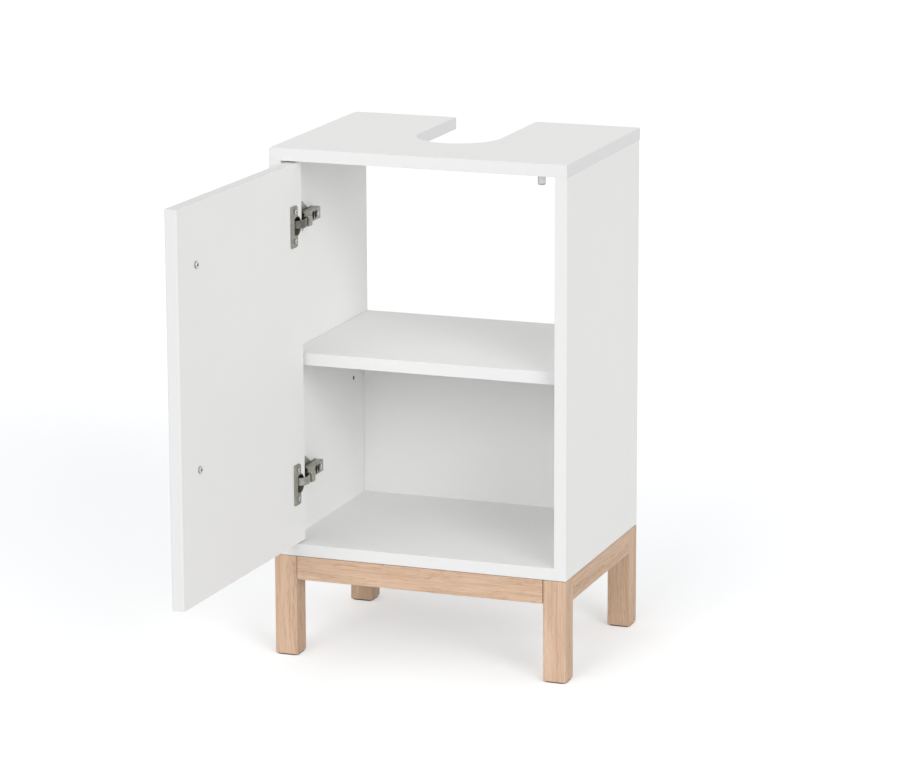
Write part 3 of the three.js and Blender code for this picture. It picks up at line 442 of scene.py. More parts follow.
def grain_group():
    """Straight-grained oak: growth bands, fibres and short pores that run along the piece's length."""
    tree, source, result = new_group(
        "oak_grain", [("Place", "NodeSocketVector", None)], ["Bands", "Fibres", "Pores", "Height"]
    )

    def times(value, factor):
        return math_node(tree, "MULTIPLY", value, factor)

    # The whole figure sways a little along the length.
    straight = source.outputs["Place"]
    sway = noise_node(tree, straight, 9.0, 1.0, 0.5, (1, 0.6, 0.6))
    lean = add_node(tree, "ShaderNodeCombineXYZ", {"Y": times(math_node(tree, "SUBTRACT", sway, 0.5), 0.012)})
    place = add_node(tree, "ShaderNodeVectorMath", {0: straight, 1: lean.outputs[0]}).outputs[0]

    wide = noise_node(tree, place, 55.0, 2.0, 0.5, (0.05, 1, 1))
    bands = noise_node(tree, place, 330.0, 3.0, 0.6, (0.03, 1, 1))
    banded = math_node(tree, "ADD", times(bands, 0.6), times(wide, 0.4))
    fibres = noise_node(tree, place, 1100.0, 2.0, 0.6, (0.015, 1, 1))

    # Pores open in patches only.
    pores = noise_node(tree, place, 760.0, 2.0, 0.5, (0.09, 1, 1))
    patches = noise_node(tree, place, 50.0, 2.0, 0.5, (0.2, 1, 1))
    open_pores = ranged(tree, pores, 0.56, 0.64, 0.0, 1.0)
    shown = times(open_pores, ranged(tree, patches, 0.42, 0.6, 0.3, 1.0))

    tree.links.new(ranged(tree, banded, 0.36, 0.64, 0.0, 1.0), result.inputs["Bands"])
    tree.links.new(ranged(tree, fibres, NOISE_LOW, NOISE_HIGH, 0.0, 1.0), result.inputs["Fibres"])
    tree.links.new(shown, result.inputs["Pores"])
    tree.links.new(math_node(tree, "SUBTRACT", times(fibres, 0.4), shown), result.inputs["Height"])
    return tree


MOTTLE = mottle_group()
GRAIN = grain_group()


# ---------------------------------------------------------------- finishes

# Each finish as it looks on screen; where there are two tones, it varies between them.
BOARD_FACE = colour(246, 246, 245), colour(247, 247, 246)
EDGE_STRIP = colour(235, 235, 235)
# The raw core's colour, darkened as painted shade for the bores
CORE_IN_PAINTED_SHADE = colour(92, 78, 64)
OAK_BANDS = colour(204, 171, 144), colour(230, 202, 177)
OAK_FIBRE = colour(200, 163, 134)
OAK_PORE = colour(164, 124, 94)
BEECH_TONES = colour(217, 193, 154), colour(200, 172, 130)
NICKEL_TONES = colour(160, 159, 149), colour(184, 182, 172)
PIN_TONES = colour(150, 150, 148), colour(190, 190, 188)
ZINC_TONES = colour(218, 220, 220), colour(236, 237, 236)
# A near-black painted shade for the hollows, slots and recesses of the metal parts
PAINTED_SHADE = colour(40, 39, 36)
STOP_TONES = colour(226, 229, 230), colour(236, 238, 238)
FELT_TONES = colour(70, 60, 54), colour(104, 92, 84)


def board_material():
    """White melamine-faced board: satin, with a barely visible orange-peel texture."""
    material, tree, shader, place = new_material("white_board", 0.5, Specular_IOR_Level=0.25)
    mottle = use_group(tree, MOTTLE, {"Place": place, "Cloud Scale": 7.0, "Grain Scale": 700.0})
    cloud = mottle.outputs["Cloud"]
    strip = mask_node(tree, "edge_strip")
    face = blended(tree, ranged(tree, cloud, 0.35, 0.65, 0, 1), *BOARD_FACE)
    faced = blended(tree, strip, face, EDGE_STRIP)
    # In the bores, the raw core's colour darkened as painted shade
    tree.links.new(blended(tree, mask_node(tree, "inner_shade"), faced, CORE_IN_PAINTED_SHADE), shader.inputs["Base Color"])
    satin = ranged(tree, cloud, NOISE_LOW, NOISE_HIGH, 0.52, 0.58)
    smoother_strip = math_node(tree, "SUBTRACT", satin, math_node(tree, "MULTIPLY", strip, 0.1))
    tree.links.new(smoother_strip, shader.inputs["Roughness"])
    bumped(tree, shader, mottle.outputs["Grain"], 0.06, 0.0002)
    return material


def oak_material():
    """Pale lacquered oak."""
    material, tree, shader, place = new_material("pale_oak", 0.58, Specular_IOR_Level=0.16)
    grain = use_group(tree, GRAIN, {"Place": place})
    bands = blended(tree, grain.outputs["Bands"], *OAK_BANDS)
    fibres = blended(tree, math_node(tree, "MULTIPLY", grain.outputs["Fibres"], 0.4), bands, OAK_FIBRE)
    pores = blended(tree, math_node(tree, "MULTIPLY", grain.outputs["Pores"], 0.5), fibres, OAK_PORE)
    tree.links.new(pores, shader.inputs["Base Color"])
    tree.links.new(ranged(tree, grain.outputs["Pores"], 0, 1, 0.46, 0.7), shader.inputs["Roughness"])
    bumped(tree, shader, grain.outputs["Height"], 0.25, 0.0002)
    return material


def beech_material():
    """Plain beech of the dowels."""
    material, tree, shader, place = new_material("beech_dowel", 0.7)
    grain = use_group(tree, GRAIN, {"Place": place})
    tree.links.new(blended(tree, grain.outputs["Fibres"], *BEECH_TONES), shader.inputs["Base Color"])
    bumped(tree, shader, grain.outputs["Height"], 0.3, 0.0002)
    return material


def metal_material(name, tones, roughness, metallic, cloud, grain):
    """Plated steel: two close tones in clouds, fine drawn grain in its gloss, and painted shade in its hollows.
    """
    material, tree, shader, place = new_material(name, roughness, metallic)
    mottle = use_group(tree, MOTTLE, {"Place": place, "Cloud Scale": cloud, "Grain Scale": grain})
    tint = blended(tree, ranged(tree, mottle.outputs["Cloud"], NOISE_LOW, NOISE_HIGH, 0, 1), *tones)
    # Painted shade: the shade mask darkens the metal's tint towards near black
    depth = math_node(tree, "MULTIPLY", mask_node(tree, "inner_shade"), 0.92)
    tree.links.new(blended(tree, depth, tint, PAINTED_SHADE), shader.inputs["Base Color"])
    gloss = ranged(tree, mottle.outputs["Grain"], NOISE_LOW, NOISE_HIGH, roughness - 0.06, roughness + 0.1)
    tree.links.new(gloss, shader.inputs["Roughness"])
    bumped(tree, shader, mottle.outputs["Grain"], 0.08, 0.00005)
    return material


def stop_material():
    """Milky clear plastic of the door stop."""
    material, tree, shader, place = new_material("milky_plastic", 0.22, IOR=1.3, Transmission_Weight=0.75)
    mottle = use_group(tree, MOTTLE, {"Place": place, "Cloud Scale": 120.0, "Grain Scale": 2500.0})
    tree.links.new(blended(tree, mottle.outputs["Cloud"], *STOP_TONES), shader.inputs["Base Color"])
    bumped(tree, shader, mottle.outputs["Grain"], 0.04, 0.0001)
    return material


def felt_material():
    """Pressed grey-brown felt of the glides; its dark tone also serves as painted contact shadow under the
    legs.
    """
    material, tree, shader, place = new_material("glide_felt", 0.95, Sheen_Weight=0.3)
    mottle = use_group(tree, MOTTLE, {"Place": place, "Cloud Scale": 400.0, "Grain Scale": 2600.0})
    tree.links.new(blended(tree, mottle.outputs["Grain"], *FELT_TONES), shader.inputs["Base Color"])
    bumped(tree, shader, mottle.outputs["Grain"], 0.8, 0.0004)
    return material


# The part's material slots and their finishes
FINISHES = {
    "white_board": board_material(),
    "oak": oak_material(),
    "dowel_wood": beech_material(),
    "nickel_steel": metal_material("nickel_plate", NICKEL_TONES, 0.3, 0.65, 160.0, 1800.0),
    "pin_steel": metal_material("bright_pin", PIN_TONES, 0.25, 1.0, 200.0, 2200.0),
    "zinc": metal_material("zinc_plate", ZINC_TONES, 0.34, 0.6, 180.0, 1500.0),
    "stop_plastic": stop_material(),
    "glide_felt": felt_material(),
}


# ---------------------------------------------------------------- carcass boards and door panel

BOARD = 16
WIDTH = 400
SIDE_DEPTH = 297
CARCASS_TOP = 656
CARCASS_BOTTOM = 136
BOARD_EASE = 0.4
DOOR_EASE = 0.3
# The walls of a bore lie at least this far under a board's broad faces, and this far in from its edges.
UNDER_FACE = 0.4
INSIDE_EDGE = 4


def in_bores(shape, thin):
    """The walls and floors of the bores in a board, where its raw core shows, darkened as painted shade."""
    spans = []
    for axis in range(3):
        margin = UNDER_FACE if axis == thin else INSIDE_EDGE
        values = [vert.co[axis] for vert in shape.verts]
        spans.append((min(values) + margin, max(values) - margin))

    def share(point):
        return 1.0 if all(low < value < high for (low, high), value in zip(spans, point)) else 0.0
    return share


def boards():
    """Each board with its grain direction and the axis it is thin along; the sides and the door have bores."""
    plan = {
        "top_panel": ("x", 2),
        "side_panel_left": ("z", 0),
        "side_panel_right": ("z", 0),
        "bottom_panel": ("x", 2),
        "shelf": ("x", 2),
        "lower_back_panel": ("x", 1),
    }
    for number, (node, (grain, thin)) in enumerate(plan.items()):
        shape = eased(node_mesh(node, "carcass"), BOARD_EASE)
        shade = in_bores(shape, thin) if "side" in node else None
        add_piece(f"{node}_board", shape, "carcass", "white_board", node, grain, number, thin, shade)
    shape = eased(node_mesh("door_panel", "door"), DOOR_EASE, angle=30)
    add_piece("door_board", shape, "door", "white_board", "door_panel", "z", 7, 1, in_bores(shape, 1))


# ---------------------------------------------------------------- oak base

LEG_SIZE = 30.5
LEG_ARRIS = 0.9
APRON_HEIGHT = 32
APRON_THICKNESS = 20
APRON_EASE = 0.6
TENON_LENGTH = 9
TENON_THICKNESS = 9
TENON_SHOULDER = 5
TENON_INSET = 5.5
MORTISE_FIT = 0.3
# Thin shadow gaps, between an apron's shoulders and the legs, and between the base and the bottom panel
SHOULDER_GAP = 0.8
TOP_SHADOW = 0.7
GLIDE_HALF = 14.4
GLIDE_CORNER = 6
GLIDE_THICKNESS = 1.5
GLIDE_EASE = 0.3


def apron_mortises():
    """The recesses that take the aprons' tenons, each as the low and high corner of one long block."""
    low, high = CARCASS_BOTTOM - APRON_HEIGHT + TENON_SHOULDER, CARCASS_BOTTOM - TENON_SHOULDER
    reach = LEG_SIZE - TENON_LENGTH
    tenons = []
    for start in (TENON_INSET, SIDE_DEPTH - APRON_THICKNESS + TENON_INSET):
        tenons.append(((reach, start, low), (WIDTH - reach, start + TENON_THICKNESS, high)))
    for start in (TENON_INSET, WIDTH - APRON_THICKNESS + TENON_INSET):
        tenons.append(((start, reach, low), (start + TENON_THICKNESS, SIDE_DEPTH - reach, high)))
    return [
        ([value - MORTISE_FIT for value in low_corner], [value + MORTISE_FIT for value in high_corner])
        for low_corner, high_corner in tenons
    ]


def apron_rail(side, along):
    """A rail with eased edges and a tenon at each end; its shoulders stop just short of the legs."""
    low, high = node_box(f"apron_{side}")
    across = 1 - along
    length = (WIDTH, SIDE_DEPTH)[along]
    tenon_low, tenon_high = low.copy(), high.copy()
    tenon_low.z = CARCASS_BOTTOM - APRON_HEIGHT + TENON_SHOULDER + MORTISE_FIT
    tenon_high.z = CARCASS_BOTTOM - TENON_SHOULDER - MORTISE_FIT
    tenon_low[across], tenon_high[across] = low[across] + TENON_INSET, high[across] - TENON_INSET
    low[along], high[along] = LEG_SIZE + SHOULDER_GAP, length - LEG_SIZE - SHOULDER_GAP
    high.z -= TOP_SHADOW
    return combined(eased(bar(low, high), APRON_EASE, 3), [bar(tenon_low, tenon_high)], "UNION")


def leg_post(place, mortises):
    low, high = node_box(f"leg_{place}")
    high.z -= TOP_SHADOW
    return combined(eased(bar(low, high), LEG_ARRIS, 3), [bar(*mortise) for mortise in mortises], "DIFFERENCE")


def glide_pad(place):
    """A felt pad, square with rounded corners, under the middle of a leg; it reaches nearly to the leg's edges,
    so that its dark felt shows as painted contact shadow along them.
    """
    corners = [(x * GLIDE_HALF, y * GLIDE_HALF, GLIDE_CORNER) for x, y in ((-1, -1), (1, -1), (1, 1), (-1, 1))]
    pad = eased(prism(filleted(corners), 0, GLIDE_THICKNESS), GLIDE_EASE, angle=50)
    low, high = node_box(f"glide_{place}")
    return moved(pad, Matrix.Translation(((low.x + high.x) / 2, (low.y + high.y) / 2, 0)))


def oak_base():
    """Four legs, each on its glide, and the four aprons between them."""
    mortises = apron_mortises()
    for number, place in enumerate(("front_left", "front_right", "rear_left", "rear_right")):
        leg = leg_post(place, mortises)
        add_piece(f"leg_post_{place}", leg, "carcass", "oak", f"leg_{place}", "z", 11 + number)
        pad = glide_pad(place)
        add_piece(f"glide_pad_{place}", pad, "carcass", "glide_felt", f"glide_{place}", "z", number)
    for number, (side, along) in enumerate({"front": 0, "rear": 0, "left": 1, "right": 1}.items()):
        rail = apron_rail(side, along)
        add_piece(f"apron_rail_{side}", rail, "carcass", "oak", f"apron_{side}", "xy"[along], 21 + number)


# ---------------------------------------------------------------- grip bar

GRIP_MIDDLE = (329.5, 449.5)
GRIP_WIDTH = 24
GRIP_PROUD = 17
GRIP_LENGTH = 300
GRIP_FOOT = 1.5
GRIP_ROUND = 4
GRIP_EASE = 0.8
COVE = 5
GRIP_SCREW_REACH = 128
GRIP_BORE_DEPTH = 13

# What is screwed down stands this far off what carries it.
SEAT_GAP = 0.3
# The bore for a screw of 4 mm
SCREW_BORE = 2.2


def grip_bar():
    """The bar on the door's outer face: a foot, a finger cove along each side and a rounded front."""
    middle, height = GRIP_MIDDLE
    back = -SEAT_GAP
    hollow = back - GRIP_FOOT - COVE
    left, right = middle - GRIP_WIDTH / 2, middle + GRIP_WIDTH / 2
    outline = [(left, back), *arc((left, hollow), COVE, 90, -90)]
    outline += arc((left + GRIP_ROUND, GRIP_ROUND - GRIP_PROUD), GRIP_ROUND, 180, 270)
    outline += arc((right - GRIP_ROUND, GRIP_ROUND - GRIP_PROUD), GRIP_ROUND, -90, 0)
    outline += [*arc((right, hollow), COVE, 270, 90), (right, back)]
    solid = prism(outline, height - GRIP_LENGTH / 2, height + GRIP_LENGTH / 2)
    bores = [
        rod(SCREW_BORE, GRIP_BORE_DEPTH, (middle, 1, height + reach), (0, -1, 0))
        for reach in (GRIP_SCREW_REACH, -GRIP_SCREW_REACH)
    ]
    shape = combined(eased(solid, GRIP_EASE, 3, 50), bores, "DIFFERENCE")
    add_piece("grip_bar", shape, "door", "oak", "grip_strip", "z", 31)


# ---------------------------------------------------------------- screws, dowels, pins and the door stop

# Each screw's shank, length, head and how far the head rises
BASE_SCREW = (4, 40, 7, 1.6)
GRIP_SCREW = (4, 26.6, 9.4, 2.4)
FIXING_SCREW = (4, 9, 7, 1.6)
PLATE_SCREW = (4, 12, 6.5, 1.6)
CUP_SCREW = (3.5, 12.9, 6.5, 1.6)
THREAD_PITCH = 1.3
BASE_SCREW_SEAT = 114

DOWEL_RADIUS = 4
DOWEL_LENGTH = 30
DOWEL_TIP = 0.78
DOWEL_RIBS = 20
DOWEL_INSET = 50
# A dowel's longer and shorter reach into the two boards that it joins
DOWEL_DEEP, DOWEL_SHALLOW = 20, 10
RIB_DEPTH = 0.22

PIN_HEIGHT = 382.7
PIN_INSET = 53
PIN_PROFILE = [
    (0, -8), (2, -8), (2.5, -7.4), (2.5, -0.2), (2.4, 0), (2.5, 0.2), (2.5, 6), (2.3, 6.6), (1.7, 7), (0, 7),
]

STOP_PLACE = (359.6, 21.6)
STOP_PROFILE = [
    (0, -14.4), (3.4, -14.4), (4.3, -14.15), (4.85, -13.6), (5, -12.8), (5, -1.2), (4.8, -0.6), (4.3, -0.3),
    (2.5, -0.3), (2.5, 8.2), (1.8, 9), (0, 9),
]


def screw(size, recess, turn):
    """A screw along +Z with its head on top: a point, a ringed shank, a domed head and a cut recess."""
    shank, length, head, rise = size
    core, crest = shank * 0.38, shank / 2
    profile = [(0, -length), (core * 0.5, -length + shank * 0.5)]
    height = -length + shank
    while height < -shank * 0.6:
        profile += [(core, height), (crest, height + 0.35)]
        height += THREAD_PITCH
    profile += [(crest, -0.4), (crest, 0), (head / 2, 0), (head / 2, rise * 0.4)]
    steps = 7
    for step in range(1, steps):
        angle = math.pi / 2 * step / steps
        profile.append((head / 2 * math.cos(angle), rise * (0.4 + 0.6 * math.sin(angle))))
    profile.append((0, rise))
    cut = combined(lathe(profile, 40), recess_tools(head, rise, recess), "DIFFERENCE")
    return moved(cut, Matrix.Rotation(math.radians(turn), 4, "Z"))


def recess_tools(head, rise, recess):
    """What cuts a slot, or a cross with its middle, into a screw's head."""
    half, floor, over = head * 0.075, rise * 0.35, rise + 1
    if recess == "slot":
        reach = head * 0.42
        return [bar((-reach, -half, floor), (reach, half, over))]
    reach = head * 0.25
    return [
        bar((-reach, -half, floor), (reach, half, over)),
        bar((-half, -reach, floor), (half, reach, over)),
        lathe([(0, floor - 0.25), (half * 1.2, floor), (half * 1.9, over), (0, over)], 24),
    ]


def in_recess(seat, direction, size):
    """Painted shade in the recess of a screw head, and a lighter painted shade around its edge."""
    head, rise = size[2:]

    def share(point):
        from_seat = point - Vector(seat)
        height = from_seat.dot(Vector(direction))
        off = (from_seat - Vector(direction) * height).length
        if 0.01 < height < 0.8 * rise and off < 0.3 * head:
            return 1.0
        return 0.65 if off > 0.45 * head else 0.0
    return share


def add_screw(node, body, size, seat, direction, recess, turn, number):
    """Stands a screw in its seat, with its head in the open and painted shade in its recess and around its
    edge.
    """
    shape = stood(screw(size, recess, turn), seat, direction)
    add_piece(f"{node}_head", shape, body, "zinc", node, "z", number, shade=in_recess(seat, direction, size))


def dowel(start, direction):
    """A ribbed dowel with chamfered ends."""
    shape = bmesh.new()
    steps = 4 * DOWEL_RIBS
    rings = []
    for height, scale in ((0, DOWEL_TIP), (1, 1), (DOWEL_LENGTH - 1, 1), (DOWEL_LENGTH, DOWEL_TIP)):
        ring = []
        for k in range(steps):
            groove = (1 - math.cos(DOWEL_RIBS * 2 * math.pi * k / steps)) / 2
            radius = (DOWEL_RADIUS - RIB_DEPTH * groove) * scale
            angle = 2 * math.pi * k / steps
            ring.append(shape.verts.new((radius * math.cos(angle), radius * math.sin(angle), height)))
        rings.append(ring)
    return stood(skinned(shape, rings), start, direction)


def dowels():
    """Top dowels stand in the side panels' top edges, bottom dowels lie in the bottom panel's ends."""
    number = 40
    for side, face, inward in (("left", BOARD, 1), ("right", WIDTH - BOARD, -1)):
        for end, y in (("front", DOWEL_INSET), ("rear", SIDE_DEPTH - DOWEL_INSET)):
            upper = dowel((face - inward * BOARD / 2, y, CARCASS_TOP - DOWEL_DEEP), (0, 0, 1))
            lower = dowel((face - inward * DOWEL_SHALLOW, y, CARCASS_BOTTOM + BOARD / 2), (inward, 0, 0))
            for level, shape, grain in (("top", upper, "z"), ("bottom", lower, "x")):
                number += 1
                node = f"{level}_dowel_{side}_{end}"
                add_piece(f"{node}_ribbed", shape, "carcass", "dowel_wood", node, grain, number)


def shelf_pins():
    for side, face, inward in (("left", BOARD, 1), ("right", WIDTH - BOARD, -1)):
        for end, y in (("front", PIN_INSET), ("rear", SIDE_DEPTH - PIN_INSET)):
            shape = stood(lathe(PIN_PROFILE, 48), (face, y, PIN_HEIGHT), (inward, 0, 0))
            node = f"shelf_pin_{side}_{end}"
            add_piece(f"{node}_turned", shape, "carcass", "zinc", node, "x", 50)


def door_stop():
    shape = stood(lathe(STOP_PROFILE, 64), (*STOP_PLACE, CARCASS_TOP), (0, 0, 1))
    add_piece("door_stop_button", shape, "carcass", "stop_plastic", "door_stop")


def base_and_grip_screws():
    """The base's screws point up into the side panels and are hidden; the grip's heads show inside the door."""
    for side, middle in (("left", BOARD / 2), ("right", WIDTH - BOARD / 2)):
        node = f"base_screw_{side}"
        shape = stood(screw(BASE_SCREW, "cross", 20), (middle, SIDE_DEPTH / 2, BASE_SCREW_SEAT), (0, 0, -1))
        add_piece(f"{node}_head", shape, "carcass", "zinc", node, "z", 60)
    for level, reach, turn in (("upper", GRIP_SCREW_REACH, 35), ("lower", -GRIP_SCREW_REACH, 10)):
        seat = (GRIP_MIDDLE[0], BOARD + SEAT_GAP, GRIP_MIDDLE[1] + reach)
        add_screw(f"grip_screw_{level}", "door", GRIP_SCREW, seat, (0, 1, 0), "cross", turn, 61)


# ---------------------------------------------------------------- concealed hinges

# Each hinge's height, how much painted shade darkens its steel, and the turn of its fixing screw's slot in
# degrees
HINGES = {"upper": (572.5, 0.18, 40), "lower": (233.5, 0.0, 75)}

# The cup, seen into the door: across in X, and upwards from the door's outer face
CUP_CENTRE = 38.5
FLANGE_UNDER, FLANGE_TOP = 16.3, 17.9
FLANGE_OUTLINE = [(36, -27, 4.5), (55, -27, 2), (55, 27, 2), (36, 27, 4.5)]
SLOPE_START = 50.4
POT_PROFILE = [
    (0, 4), (11.4, 4), (12.6, 4.4), (13, 5.4), (13, FLANGE_UNDER), (13.4, FLANGE_UNDER), (13.6, 16.6),
    (13.6, 17.4), (13.2, 17.8), (12.6, FLANGE_TOP), (0, FLANGE_TOP),
]
MOUTH_PROFILE = [(0, 4.8), (11, 4.8), (12.2, 6.2), (12.2, 15.4), (12.2, 19), (0, 19)]
MOUTH_END = 46.4
CUP_SCREW_X, CUP_SCREW_REACH, CUP_SCREW_BORE = 44, 19, 1.95

# The strap between the two pivots
STRAP_HALF, STRAP_FLAT = 5, 4.4
EYE, PIVOT_BORE = 2.3, 1.5
STRAP_CREST = 5.9

# The arm: how far its top stands off the side panel, and where along the panel it changes
ARM_TOP_FRONT, ARM_TOP_REAR = 40.6, 29.0
ARM_HALF, NOSE_HALF, SHEET = 8.0, 6.8, 1.2
CHEEK = 9
NOSE_FRONT, CRANK_START, CRANK_END, ARM_END = 33.56, 45.0, 58.0, 101.0
FIXING_Y, KEYHOLE_Y = 90, 76
HOLE_ROUND, SLOT_ROUND = 4.4, 8.2
RIB_OUTLINE = [(63, 4.6, 0.9), (98.5, 4.6, 0.9), (98.5, 6.6, 0.9), (63, 6.6, 0.9)]

# The mounting plate
PLATE_TOP = 18
WING_OUTLINE = [(44, 20, 3), (66, 20, 4), (85, 8, 3), (102.5, 8, 1.5)]
PLATE_SCREW_Y, PLATE_SCREW_REACH = 53, 16
SADDLE_HALF, SADDLE_END = 6.5, 102.2

RIVET = 1.2
CUP_RIVET_HALF = 8.1


def hinge_cup(z):
    """The pressed cup: a pot, a rim and a flange with a sloped edge; its mouth ends short of the far side."""
    pot = moved(facing_in(lathe(POT_PROFILE, 72)), Matrix.Translation((CUP_CENTRE, 0, z)))
    flange = lifted(facing_in(prism(filleted(FLANGE_OUTLINE), FLANGE_UNDER, FLANGE_TOP)), z)
    past = 55.6
    wedge = [(SLOPE_START, FLANGE_TOP), (past, FLANGE_TOP - 1.0), (past, 19), (SLOPE_START, 19)]
    flange = combined(flange, [prism(wedge, z - 30, z + 30)], "DIFFERENCE")
    mouth = moved(facing_in(lathe(MOUTH_PROFILE, 72)), Matrix.Translation((CUP_CENTRE, 0, z)))
    mouth = combined(mouth, [bar((MOUTH_END, 0, z - 15), (60, 20, z + 15))], "DIFFERENCE")
    bores = [
        rod(CUP_SCREW_BORE, 5, (CUP_SCREW_X, 15, z + reach), (0, 1, 0))
        for reach in (CUP_SCREW_REACH, -CUP_SCREW_REACH)
    ]
    return combined(eased(combined(pot, [flange], "UNION"), 0.3, 2, 35), [mouth, *bores], "DIFFERENCE")


def hinge_link(z):
    """The strap between the pins: it leans out past the door's edge and curls into the cup."""
    (ax, ay), (cx, cy) = ARM_PIVOT, CUP_PIVOT
    crest, half = ax + STRAP_CREST, 0.8
    outline = [(ax, ay + EYE), (ax + EYE, ay), (ax + EYE, ay - 5.2)]
    outline += curved((crest + half, 22), (crest + half, cy - half), (cx, cy - EYE + 0.4))
    outline += curved((cx, cy + half), (crest - half, cy + half), (crest - half, 22 - half))
    outline += [(ax + EYE - 1.6, ay - 5.8), (ax, ay - EYE)]
    eyes = [rod(EYE, 2 * STRAP_HALF, (x, y, z - STRAP_HALF), (0, 0, 1), 40) for x, y in (ARM_PIVOT, CUP_PIVOT)]
    solid = combined(prism(outline, z - STRAP_HALF, z + STRAP_HALF), eyes, "UNION")
    bores = [rod(PIVOT_BORE, 14, (x, y, z - 7), (0, 0, 1)) for x, y in (ARM_PIVOT, CUP_PIVOT)]
    return combined(eased(solid, 0.45, 3, 50), bores, "DIFFERENCE")


def arm_outline():
    """The arm's side view, drawn in the plan: a rounded nose, the crank and the long rear part."""
    low_front, low_rear = ARM_TOP_FRONT - CHEEK, ARM_TOP_REAR - CHEEK
    return [
        (low_front, NOSE_FRONT + 3), (ARM_TOP_FRONT - 2.2, NOSE_FRONT), (ARM_TOP_FRONT, NOSE_FRONT + 1.6),
        (ARM_TOP_FRONT, CRANK_START), (ARM_TOP_REAR, CRANK_END), (ARM_TOP_REAR, ARM_END),
        (low_rear, ARM_END), (low_rear, CRANK_END), (low_front, CRANK_START - 3),
    ]


def hollow_outline():
    """The hollow in that view: a sheet's thickness under the top, and open below and at both ends."""
    top_front, top_rear = ARM_TOP_FRONT - SHEET, ARM_TOP_REAR - SHEET
    under, front, rear = ARM_TOP_REAR - CHEEK - 2, NOSE_FRONT - 2, ARM_END + 2
    return [
        (under, front), (top_front, front), (top_front, CRANK_START - SHEET / 2),
        (top_rear, CRANK_END - SHEET / 2), (top_rear, rear), (under, rear),
    ]


def nose_wedges(z, inset):
    """What narrows the arm towards its nose, on both sides; inset draws them for the hollow."""
    front, outside = NOSE_FRONT - 3, ARM_HALF + 2
    nose, full = NOSE_HALF - inset, ARM_HALF - inset
    wedges = []
    for side in (1, -1):
        outline = [(front, side * nose), (CRANK_START, side * nose), (CRANK_END, side * full),
                   (CRANK_END, side * outside), (front, side * outside)]
        wedges.append(lifted(upright(prism(outline, 14, 44)), z))
    return wedges


def arm_openings(z):
    """The arm's pivot bore, its fixing bore, the keyhole and the curved slot, and the notches in its feet."""
    ax, ay = ARM_PIVOT
    bores = [
        rod(1.4, 20, (ax, ay, z - 10), (0, 0, 1)),
        rod(SCREW_BORE, 4, (ARM_TOP_REAR - 2.5, FIXING_Y, z), (1, 0, 0)),
    ]
    keyhole = arc((KEYHOLE_Y, 1.6), HOLE_ROUND, -58, 238, 20)
    keyhole += [(KEYHOLE_Y - 2.33, -5.6), (KEYHOLE_Y + 2.33, -5.6)]
    slot = arc((FIXING_Y - 0.5, 0), SLOT_ROUND, 128, 232, 16) + arc((FIXING_Y, 0), HOLE_ROUND, 232, 128, 16)
    slots = [
        lifted(upright(prism(outline, ARM_TOP_REAR - 2.2, ARM_TOP_REAR + 1)), z) for outline in (keyhole, slot)
    ]
    foot = ARM_TOP_REAR - CHEEK
    starts = [CRANK_END + 4 + 3 * k for k in range(5)]
    notches = [bar((foot - 1, start, z - 9), (foot + 0.9, start + 1.5, z + 9)) for start in starts]
    return [*bores, *slots, *notches]


def hinge_arm(z):
    """The pressed arm: a cranked channel with rounded bends, a ribbed edge, and its openings."""
    body = combined(prism(arm_outline(), z - ARM_HALF, z + ARM_HALF), nose_wedges(z, 0), "DIFFERENCE")
    rib = lifted(upright(prism(filleted(RIB_OUTLINE), ARM_TOP_REAR - 0.3, ARM_TOP_REAR + 0.35)), z)
    body = combined(eased(body, 1.1, 4, 28), [rib], "UNION")
    hollow = prism(hollow_outline(), z - ARM_HALF + SHEET, z + ARM_HALF - SHEET)
    hollow = combined(hollow, nose_wedges(z, SHEET), "DIFFERENCE")
    return combined(body, [hollow, *arm_openings(z)], "DIFFERENCE")


def mounting_plate(z):
    """The plate on the side panel: two rounded wings, sloping shoulders, and the saddle under the arm."""
    lower = [(y, -height, radius) for y, height, radius in reversed(WING_OUTLINE)]
    sheet = eased(upright(prism(filleted(WING_OUTLINE + lower), BOARD, PLATE_TOP)), 0.45, 3, 50)
    saddle = bar((PLATE_TOP - 0.3, CRANK_END + 0.3, -SADDLE_HALF),
                 (ARM_TOP_REAR - SHEET - SEAT_GAP, SADDLE_END, SADDLE_HALF))
    whole = combined(sheet, [eased(saddle, 0.5)], "UNION")
    bores = [rod(SCREW_BORE, 12, (ARM_TOP_REAR - 9, FIXING_Y, 0), (1, 0, 0))]
    for reach in (PLATE_SCREW_REACH, -PLATE_SCREW_REACH):
        bores.append(rod(SCREW_BORE, 5, (BOARD - 1, PLATE_SCREW_Y, reach), (1, 0, 0)))
    return lifted(combined(whole, bores, "DIFFERENCE"), z)


def rivet(half):
    """A rivet pin with slightly rounded ends, along +Z."""
    length, flat = 2 * half, RIVET - 0.3
    return lathe([(0, 0), (flat, 0), (RIVET, 0.3), (RIVET, length - 0.3), (flat, length), (0, length)], 40)


def on_saddle(z, hinge_shade):
    """Painted shade on the saddle, which lies in the arm's shade; the rest of the plate gets the hinge's
    painted shade.
    """
    def share(point):
        return 1.0 if abs(point.z - z) < SADDLE_HALF + 0.1 and point.x > PLATE_TOP + 0.2 else hinge_shade
    return share


def under_arm(z, hinge_shade):
    """Painted shade on the arm's inner faces, the walls of its slots and its feet; its cheeks get a little more
    painted shade than its top.
    """
    def share(point):
        side = abs(point.z - z)
        inner = side < ARM_HALF - SHEET + 0.1 and point.x < ARM_TOP_REAR - 0.2
        if inner or point.x < ARM_TOP_REAR - CHEEK + 1:
            return 1.0
        return hinge_shade + (0.25 if side > ARM_HALF - 0.1 else 0.0)
    return share


